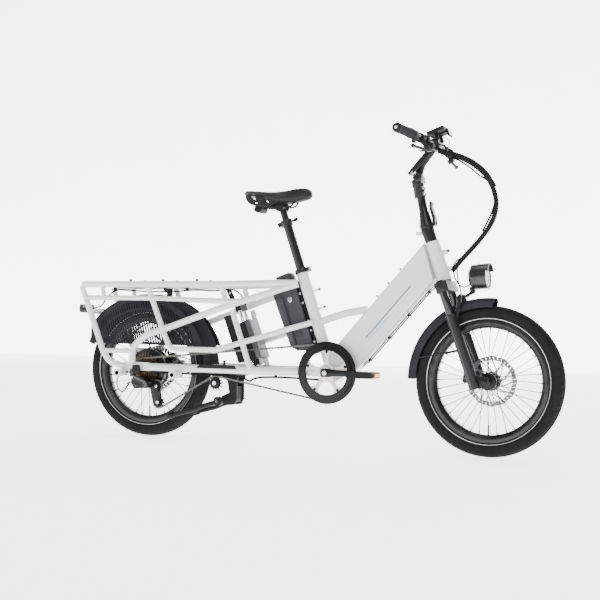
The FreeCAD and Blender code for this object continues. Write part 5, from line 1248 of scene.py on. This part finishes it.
def make_bolts():
    """Screws in the bosses, on the deck, the post and the drive."""
    for i, h in enumerate(HEAD_BOSSES):
        bolt_head(f"head_boss_bolt_{i + 1}", HEAD.out(0.0436, 0, h), HEAD.way(1, 0, 0), 0.0062, "frame", height=0.008)
    for i, (x, z) in enumerate(((0.683, 0.572), (0.706, 0.507))):
        base = station(x, 0, z) + SEAT.way(1, 0, 0) * 0.0296
        bolt_head(f"bottle_bolt_{i + 1}", base, SEAT.way(1, 0, 0), 0.0048, "frame", height=0.0075)
    for i, (x, z) in enumerate(((1.043, 0.645), (0.998, 0.595), (0.955, 0.547))):
        base = station(x, 0, z) + DOWN.way(-1, 0, 0) * 0.0156
        bolt_head(f"tube_bolt_{i + 1}", base, DOWN.way(-1, 0, 0), 0.0046, "frame", height=0.006)
    for i, (x, z) in enumerate(((-0.068, 0.588), (0.078, 0.588), (0.228, 0.590))):
        for word, way in SIDES:
            bolt_head(f"deck_screw_{word}_{i + 1}", station(x, way * 0.055, z + 0.0088), UP, 0.0060, "frame",
                      height=0.0185)
    for i in range(3):
        base = station(1.108 + 0.002 * i, 0, 0.970 - 0.022 * i)
        for word, way in SIDES:
            bolt_head(f"sleeve_screw_{word}_{i + 1}", base + LEFT * way * 0.0088, LEFT * way, 0.0062, "handlepost",
                      "chrome", 0.0048)
    for word, way in SIDES:
        cover = [(0.004, 0), (0.0150, 0), (0.0150, 0.0014), (0.0128, 0.0030), (0.0062, 0.0034), (0.0050, 0.0022)]
        turned("stem_cover_" + word, cover, station(STEM_PIVOT[0], way * 0.0218, STEM_PIVOT[1]), LEFT * way, 36,
               "black_metal", "handlepost")
        washer_bolt("dropout_nut_" + word, station(0, way * 0.1062, 0.265), LEFT * way, 0.0078, "frame", 0.0075)
        washer_bolt("stand_bolt_" + word, station(0.345, way * 0.0945, 0.155), LEFT * way, 0.0055, "frame", 0.005)
    diamond = [(0.0100, 0.0), (0.0225, 0.0), (0.0225, 0.0050), (0.0160, 0.0085)]
    turned("axle_cover", diamond, station(0, -0.1085, 0.265), -LEFT, 4, "black_plastic", "frame")
    for name, place, radius, material, height in (
            ("pulley_bolt_1", (0.062, -0.0622, 0.199), 0.0058, "chrome", 0.003),
            ("pulley_bolt_2", (0.070, -0.0622, 0.137), 0.0058, "chrome", 0.003),
            ("idler_bolt", (0.316, -0.0608, 0.221), 0.0082, "chrome", 0.004),
            ("cage_bolt", (0.034, -0.0978, 0.206), 0.0095, "hardware_steel", 0.005),
            ("hanger_bolt", (-0.024, -0.1038, 0.252), 0.0080, "hardware_steel", 0.005)):
        bolt_head(name, station(*place), -LEFT, radius, "frame", material, height)
    for word, way in SIDES:
        bolt_head("crank_bolt_" + word, station(0.774, way * 0.0826, 0.276), LEFT * way, 0.0084, "crank", "chrome",
                  0.003)


def make_derailleur_trim():
    """Silver links and a stamped outer face on the derailleur."""
    for k, (a, b) in enumerate((((-0.022, 0.214), (0.026, 0.196)), ((-0.018, 0.236), (0.034, 0.214)))):
        strip(f"derailleur_link_{k + 1}", LEVEL, a, b, 0.0085, -0.1002, "hardware_steel" if k else "black_metal",
              "frame", 0.0022)
    strip("cage_face", LEVEL, (0.060, 0.192), (0.068, 0.148), 0.0165, -0.0614, "black_metal", "frame", 0.0010)
    bolt_head("link_bolt", station(0.026, -0.0985, 0.199), -LEFT, 0.0062, "frame", "black_metal", 0.004)
    adjust = station(-0.030, -0.104, 0.212)
    turned("cable_adjuster", [(0.002, 0), (0.0042, 0.001), (0.0042, 0.008), (0.0030, 0.010), (0.0030, 0.016)],
           adjust, Vector((-1, 0, -0.35)), 14, "hardware_steel", "frame")


def make_battery_trim():
    """Panel lines, the lock, the charging cap and the dock's contacts."""
    for word, way in SIDES:
        for k, (start, end, width, side) in enumerate((
                ((-0.052, -0.066), (-0.056, -0.296), 0.0022, 0.0260),
                ((-0.040, -0.262), (-0.090, -0.256), 0.0020, 0.0260),
                ((-0.0945, -0.258), (-0.1175, -0.246), 0.0020, 0.0380),
                ((-0.104, -0.092), (-0.106, -0.236), 0.0020, 0.0380))):
            strip(f"battery_line_{word}_{k + 1}", SEAT, start, end, width, way * side, "seam_dark_and_bore_shade", "battery")
        for k, z in enumerate((-0.088, -0.124, -0.196, -0.232, -0.276)):
            bolt_head(f"dock_contact_{word}_{k + 1}", SEAT.out(-0.0285, way * 0.0128, z), LEFT * way, 0.0042, "frame",
                      "chrome", 0.0022)
    turned("battery_lock", [(0.003, 0), (0.0095, 0), (0.0095, 0.0016), (0.0078, 0.0028), (0.0030, 0.0028)],
           SEAT.out(-0.070, -0.0258, -0.098), -LEFT, 28, "chrome", "battery")
    turned("charge_cap", [(0.004, 0), (0.0115, 0), (0.0115, 0.0022), (0.0098, 0.0036), (0.0030, 0.0036)],
           SEAT.out(-0.072, -0.0258, -0.232), -LEFT, 30, "seam_dark_and_bore_shade", "battery")


def make_skirts():
    """The side skirts of both fenders."""
    for word, centre, first, last, outer, inner, side, body in (
            ("rear", REAR_AXLE, 160, 5, 0.2790, 0.2560, 0.0380, "frame"),
            ("front", FRONT_AXLE, 180, 86.5, 0.2770, 0.2575, 0.0340, "fork_lowers")):
        steps = 70
        angles = [math.radians(first + (last - first) * k / steps) for k in range(steps + 1)]
        outline = [around(outer, angle) for angle in angles] + [around(inner, angle) for angle in reversed(angles)]
        for hand, way in SIDES:
            sheet_piece(f"{word}_skirt_{hand}", outline, [], facing(centre),
                        *sorted((way * side, way * (side - 0.0016))), "guard_plastic", body, slot="black_plastic")


def make_chainstay_guard():
    """A wrapped rubber sheet over the right chainstay, with slanted ends."""
    vertices, faces = [], []
    steps, slices = 26, 16
    for layer in (0.0152, 0.0172):
        for i in range(steps + 1):
            part = i / steps
            for k in range(slices + 1):
                angle = math.radians(12 + 172 * k / slices)
                x = 0.259 + 0.159 * part - 0.014 * math.sin(angle - 0.6) * (1 if part > 0.5 else -1)
                y = -0.090 + 0.016 * (x - 0.044) / 0.377
                vertices.append(station(x, y - math.cos(angle) * layer, 0.274 + math.sin(angle) * layer))
    row = slices + 1
    sheet = (steps + 1) * row
    for i in range(steps):
        for k in range(slices):
            a = i * row + k
            faces.append((a, a + 1, a + row + 1, a + row))
            faces.append((sheet + a, sheet + a + row, sheet + a + row + 1, sheet + a + 1))
    for i in range(steps):
        for k in (0, slices):
            a = i * row + k
            faces.append((a, a + row, sheet + a + row, sheet + a))
    for k in range(slices):
        for i in (0, steps):
            a = i * row + k
            faces.append((a, a + 1, sheet + a + 1, sheet + a))
    piece("chainstay_guard", vertices, faces, "grip_rubber", "frame", slot="grip_rubber")


def make_frame_trim():
    """Plain pinstripes, the chainstay guard, a peg, a lug and small frame fittings."""
    for word, way in SIDES:
        side = way * 0.0360
        strip(f"pinstripe_long_{word}", DOWN, (0.008, 0.190), (0.008, 0.440), 0.0050, side, "grey_print", "frame")
        strip(f"pinstripe_short_{word}", DOWN, (0.020, 0.190), (0.020, 0.300), 0.0050, side, "accent_paint", "frame")
    make_chainstay_guard()
    turned("stay_peg", [(0.002, 0), (0.0065, 0), (0.0065, 0.003), (0.0045, 0.005), (0.0045, 0.014), (0.0062, 0.016),
                        (0.0062, 0.021), (0.0030, 0.022)], station(0.364, -0.0765, 0.2880), UP, 20,
           "black_plastic", "frame")
    strip("latch_tab", CONTROL, (-0.004, 0.146), (-0.010, 0.196), 0.020, -0.0290, "black_metal", "frame", 0.004)
    bolt_head("latch_tab_bolt", CONTROL.out(-0.009, -0.0330, 0.188), -LEFT, 0.0050, "frame", "chrome", 0.003)
    block("charger_top", CONTROL, (-0.0655, -0.0340, 0.0665), (-0.0405, 0.0340, 0.1120), 0.003, "black_plastic",
          "frame")
    for i, h in enumerate(HEAD_BOSSES):
        sleeve = [(0.0061, 0.0), (0.0092, 0.0), (0.0092, 0.0120), (0.0080, 0.0136), (0.0061, 0.0136)]
        turned(f"head_boss_sleeve_{i + 1}", sleeve, HEAD.out(0.0262, 0, h), HEAD.way(1, 0, 0), 26, "frame_paint",
               "frame", closed=True)
    turned("idler_cover", [(0.0030, 0.0), (0.0205, 0.0), (0.0205, 0.0014), (0.0180, 0.0026), (0.0110, 0.0030),
                           (0.0030, 0.0030)], station(0.316, -0.0580, 0.221), -LEFT, 40, "black_plastic", "idler")
    collar("loop_lug", 0.0040, 0.0095, 0.002, station(0.436, -0.0858, 0.3920), LEFT, 24, "frame_paint", "frame")
    strip("loop_lug_foot", LEVEL, (0.433, 0.380), (0.436, 0.388), 0.012, -0.0838, "frame_paint", "frame", 0.004)


def stay_line(x):
    """How far the chainstay's middle is to the left at a station."""
    return -0.090 + 0.016 * (x - 0.044) / 0.377 if x < 0.42 else -0.074 + 0.042 * (x - 0.42) / 0.24


def make_frame_wires():
    """Cables and hoses along the frame, with their clips."""
    under = []
    for reach in (0.100, 0.180, 0.260, 0.340, 0.420, 0.495):
        spot = DOWN.out(0.0685, 0.0, reach)
        under.append((spot.x - REAR_AXLE.x, 0.0, spot.z))
    hose("down_tube_cable", 0.0024, "frame", "taut", (0.800, 0.012, 0.262), *under, (1.176, 0.006, 0.598))
    hose("down_tube_hose", 0.0020, "frame", "taut", (0.806, -0.010, 0.268),
         *((x - 0.003, -0.010, z + 0.003) for x, _, z in under), (1.160, -0.006, 0.592))
    for k, reach in enumerate((0.135, 0.245, 0.355, 0.465)):
        collar(f"cable_clip_{k + 1}", 0.0030, 0.0052, 0.010, DOWN.out(0.0675, -0.004, reach), LEFT, 14,
               "black_plastic", "frame")
        turned(f"clip_stem_{k + 1}", [(0.0022, 0), (0.0036, 0), (0.0036, 0.006), (0.0022, 0.007)],
               DOWN.out(0.0596, -0.004, reach), DOWN.way(1, 0, 0), 12, "frame_paint", "frame")
    hose("stay_cable", 0.0038, "frame", "taut", (0.060, -0.092, 0.2560), (0.150, -0.090, 0.2540),
         (0.250, -0.086, 0.2535), (0.400, -0.081, 0.2525), (0.446, -0.078, 0.2500), (0.458, -0.077, 0.238),
         (0.474, -0.077, 0.2340), (0.486, -0.075, 0.244), (0.520, -0.068, 0.2520), (0.620, -0.046, 0.2530),
         (0.736, -0.028, 0.2480))
    for k, x in enumerate((0.118, 0.214, 0.330, 0.566, 0.664)):
        collar(f"stay_clip_{k + 1}", 0.0026, 0.0050, 0.004, station(x, stay_line(x), 0.2575), Vector((1, 0, 0)), 14,
               "black_plastic", "frame")
    hose("deck_wire", 0.0030, "frame", "hanging", (0.437, -0.052, 0.520), (0.430, -0.070, 0.556),
         (0.400, -0.086, 0.5790), (0.330, -0.092, 0.5690), (0.250, -0.096, 0.5740), (0.160, -0.098, 0.5660),
         (0.060, -0.101, 0.5640), (-0.040, -0.104, 0.5690), (-0.105, -0.104, 0.5720), (-0.140, -0.102, 0.548),
         (-0.172, -0.085, 0.520), (-0.205, -0.050, 0.506), (-0.250, -0.020, 0.500), (-0.286, -0.010, 0.497))
    for k, x in enumerate((-0.110, 0.112, 0.206)):
        y = -0.115 + 0.015 * (x + 0.248) / 0.605
        turned(f"wire_clip_{k + 1}", [(0.0024, -0.006), (0.0064, -0.005), (0.0064, 0.005), (0.0024, 0.006)],
               station(x, y + 0.012, 0.5745), Vector((1, 0.025, 0)), 16, "black_plastic", "frame", closed=True)
    hose("gear_cable_loop", 0.0024, "frame", "loose", (0.048, -0.094, 0.258), (-0.030, -0.105, 0.254),
         (-0.068, -0.106, 0.248), (-0.090, -0.106, 0.222), (-0.086, -0.106, 0.188), (-0.062, -0.105, 0.170),
         (-0.044, -0.104, 0.190), (-0.034, -0.104, 0.208))
    hose("motor_cable", 0.0034, "frame", "loose", (0.020, 0.098, 0.268), (0.050, 0.108, 0.252),
         (0.110, 0.104, 0.2560), (0.220, 0.100, 0.262), (0.330, 0.094, 0.262), (0.410, 0.070, 0.286),
         (0.430, 0.030, 0.312))
    hose("controller_cable", 0.0036, "frame", "loose", (0.452, -0.020, 0.316), (0.462, -0.018, 0.290),
         (0.500, -0.020, 0.276), (0.580, -0.016, 0.268), (0.700, -0.010, 0.262), (0.750, -0.004, 0.262))
    hose("rear_brake_hose", 0.0025, "frame", "taut", (0.070, 0.062, 0.320), (0.110, 0.076, 0.306),
         (0.180, 0.094, 0.290), (0.300, 0.092, 0.290), (0.430, 0.088, 0.290), (0.560, 0.058, 0.288),
         (0.700, 0.034, 0.292))


def make_front_wires():
    """Cables and hoses of the bar, the loom and the fork."""
    for word, way in SIDES:
        hose(f"{word}_brake_hose", 0.0025, "stem", "loose", (1.150, way * 0.126, 1.092), (1.172, way * 0.104, 1.090),
             (1.196, way * 0.066, 1.090), (1.206, way * 0.030, 1.084), (1.214, way * 0.008, 1.072),
             (1.232, way * 0.004, 1.062))
    hose("shifter_cable", 0.0025, "stem", "loose", (1.172, -0.094, 1.078), (1.206, -0.074, 1.072),
         (1.222, -0.036, 1.060), (1.216, -0.010, 1.056), (1.232, -0.006, 1.052))
    hose("display_wire", 0.0017, "stem", "loose", (1.176, 0.012, 1.130), (1.196, 0.016, 1.122),
         (1.200, 0.014, 1.104), (1.192, 0.008, 1.088), (1.206, 0.005, 1.072))
    hose("throttle_wire", 0.0016, "stem", "loose", (1.146, -0.196, 1.094), (1.164, -0.170, 1.106),
         (1.176, -0.120, 1.112), (1.184, -0.060, 1.108), (1.194, -0.024, 1.094), (1.204, -0.006, 1.078))
    hose("keypad_wire", 0.0016, "stem", "loose", (1.152, 0.112, 1.084), (1.168, 0.090, 1.074),
         (1.186, 0.050, 1.070), (1.200, 0.012, 1.066))
    hose("loom_strand_low", 0.0030, ACROSS_FOLD, "loose", (1.214, -0.006, 1.054), (1.246, -0.010, 1.040),
         (1.286, -0.010, 1.012), (1.314, -0.008, 0.986), (1.336, -0.004, 0.974), (1.352, 0.000, 0.962))
    hose("loom_strand_high", 0.0034, ACROSS_FOLD, "loose", (1.196, 0.006, 1.078), (1.236, 0.008, 1.068),
         (1.290, 0.008, 1.042), (1.330, 0.008, 1.010), (1.352, 0.006, 0.982), (1.372, 0.004, 0.948))
    hose("loom_strand_side", 0.0034, ACROSS_FOLD, "loose", (1.378, -0.006, 0.906), (1.371, -0.010, 0.880),
         (1.358, -0.010, 0.840), (1.330, -0.006, 0.790))
    hose("lamp_wire", 0.0025, "fork_lowers", "loose", (1.262, -0.004, 0.697), (1.238, -0.010, 0.690),
         (1.227, -0.012, 0.668), (1.232, -0.012, 0.630), (1.248, -0.008, 0.600), (1.270, -0.004, 0.590),
         (1.289, -0.002, 0.604))
    leg = [HEAD.out(-0.026, 0.060, reach) for reach in (-0.150, -0.230, -0.310)]
    hose("front_brake_hose", 0.0024, "fork_lowers", "loose", (1.238, 0.006, 0.668), (1.234, 0.018, 0.620),
         (1.250, 0.038, 0.570), *((spot.x - REAR_AXLE.x, spot.y, spot.z) for spot in leg), (1.280, 0.046, 0.296))


def slab(name, near, far, material, slot):
    """A thin slab on the stem between two outlines."""
    n = len(near)
    faces = [tuple(reversed(range(n))), tuple(n + k for k in range(n))]
    faces += [(k, (k + 1) % n, n + (k + 1) % n, n + k) for k in range(n)]
    return piece(name, near + far, faces, material, "stem", slot=slot)


def make_cockpit_trim():
    """The display's glass, the reflector's lens and the stem's caps."""
    glass = [(-0.020, -0.040), (0.026, -0.040), (0.031, -0.035), (0.031, 0.035), (0.026, 0.040), (-0.020, 0.040),
             (-0.025, 0.035), (-0.025, -0.035)]
    slab("display_glass", *([DISPLAY.out(x, y, z) for x, y in glass] for z in (0.0100, 0.0109)), "screen",
         "black_plastic")
    cap = [(0.002, 0.0), (0.0135, 0.0), (0.0135, 0.0020), (0.0122, 0.0030), (0.0100, 0.0030), (0.0092, 0.0022),
           (0.002, 0.0022)]
    for word, way in SIDES:
        turned(f"stem_pivot_cap_{word}", cap, station(STEM_PIVOT[0], way * 0.0216, STEM_PIVOT[1]), LEFT * way, 40,
               "black_metal", "handlepost")
    lens = [(-0.021, -0.0235), (0.021, -0.0235), (0.021, -0.0015), (-0.021, -0.0015)]
    soften(slab("front_reflector_lens", *([DISPLAY.out(x, y, z) for y, z in lens] for x in (0.0428, 0.0446)),
                "clear_lens", "lamp_plastic"), 0.001)


# ------------------------------------------------------------------------------------- camera, floor, lights
def make_camera():
    """The first view, from its position, turn, pitch and roll."""
    yaw, pitch, roll = math.radians(23.427), math.radians(1.317), math.radians(1.216)
    ahead = Vector((-math.sin(yaw) * math.cos(pitch), math.cos(yaw) * math.cos(pitch), math.sin(pitch)))
    right = Vector((math.cos(yaw), math.sin(yaw), 0))
    up = right.cross(ahead)
    side = right * math.cos(roll) + up * math.sin(roll)
    top = up * math.cos(roll) - right * math.sin(roll)
    data = bpy.data.cameras.new("camera")
    data.sensor_width = 36
    data.lens = 69.3
    data.clip_end = 100
    camera = put_in_scene("camera", data)
    turn = Matrix((side, top, -ahead)).transposed().to_4x4()
    camera.matrix_world = Matrix.Translation(station(2.3537, -3.9632, 0.4422)) @ turn
    bpy.context.scene.camera = camera


def stage_sheet(name, corners, colour, glow, rough=None):
    """A flat bright sheet of the stage."""
    material = bpy.data.materials.new(name)
    material.use_nodes = True
    shader = material.node_tree.nodes["Principled BSDF"]
    shader.inputs["Base Color"].default_value = (*colour, 1)
    shader.inputs["Emission Color"].default_value = (1, 1, 1, 1)
    shader.inputs["Emission Strength"].default_value = glow
    if rough is not None:
        shader.inputs["Roughness"].default_value = rough
    mesh = bpy.data.meshes.new(name)
    mesh.from_pydata(corners, [], [(0, 1, 2, 3)])
    mesh.materials.append(material)
    put_in_scene(name, mesh)


def make_stage():
    """A pale flat floor and a bright backdrop, with a near-white world and four soft lights."""
    half, ground = 14.0, -0.0005
    stage_sheet("floor", [(-half, -half, ground), (half, -half, ground), (half, half, ground), (-half, half, ground)],
                (0.9, 0.9, 0.9), 2.6, 0.9)
    stage_sheet("backdrop", [(-12, 9, -0.4), (9, 9, -0.4), (9, 9, 6.5), (-12, 9, 6.5)], (1, 1, 1), 4.2)
    world = bpy.data.worlds.new("world")
    bpy.context.scene.world = world
    world.use_nodes = True
    background = world.node_tree.nodes["Background"]
    background.inputs["Color"].default_value = (1, 1, 1, 1)
    background.inputs["Strength"].default_value = 0.6
    for name, place, size, power in (("key", (1.5, -3.2, 3.6), 2.6, 110), ("fill", (-3.4, -2.6, 2.2), 2.4, 55),
                                     ("rim", (0.4, 3.4, 3.0), 2.4, 70), ("top", (0, 0, 4.2), 2.0, 60)):
        light = bpy.data.lights.new(name, "AREA")
        light.energy = power
        light.size = size
        lamp = put_in_scene(name, light)
        lamp.location = place
        lamp.rotation_euler = (Vector((0, 0, 0.5)) - Vector(place)).to_track_quat("-Z", "Y").to_euler()


for make in (make_wheels, make_drivetrain, make_saddle, make_seat_clamp_knob, make_frame, make_loom, make_grips,
             make_headlight_inside, make_bolts, make_derailleur_trim, make_battery_trim, make_skirts, make_frame_trim,
             make_frame_wires, make_front_wires, make_cockpit_trim, make_camera, make_stage):
    make()
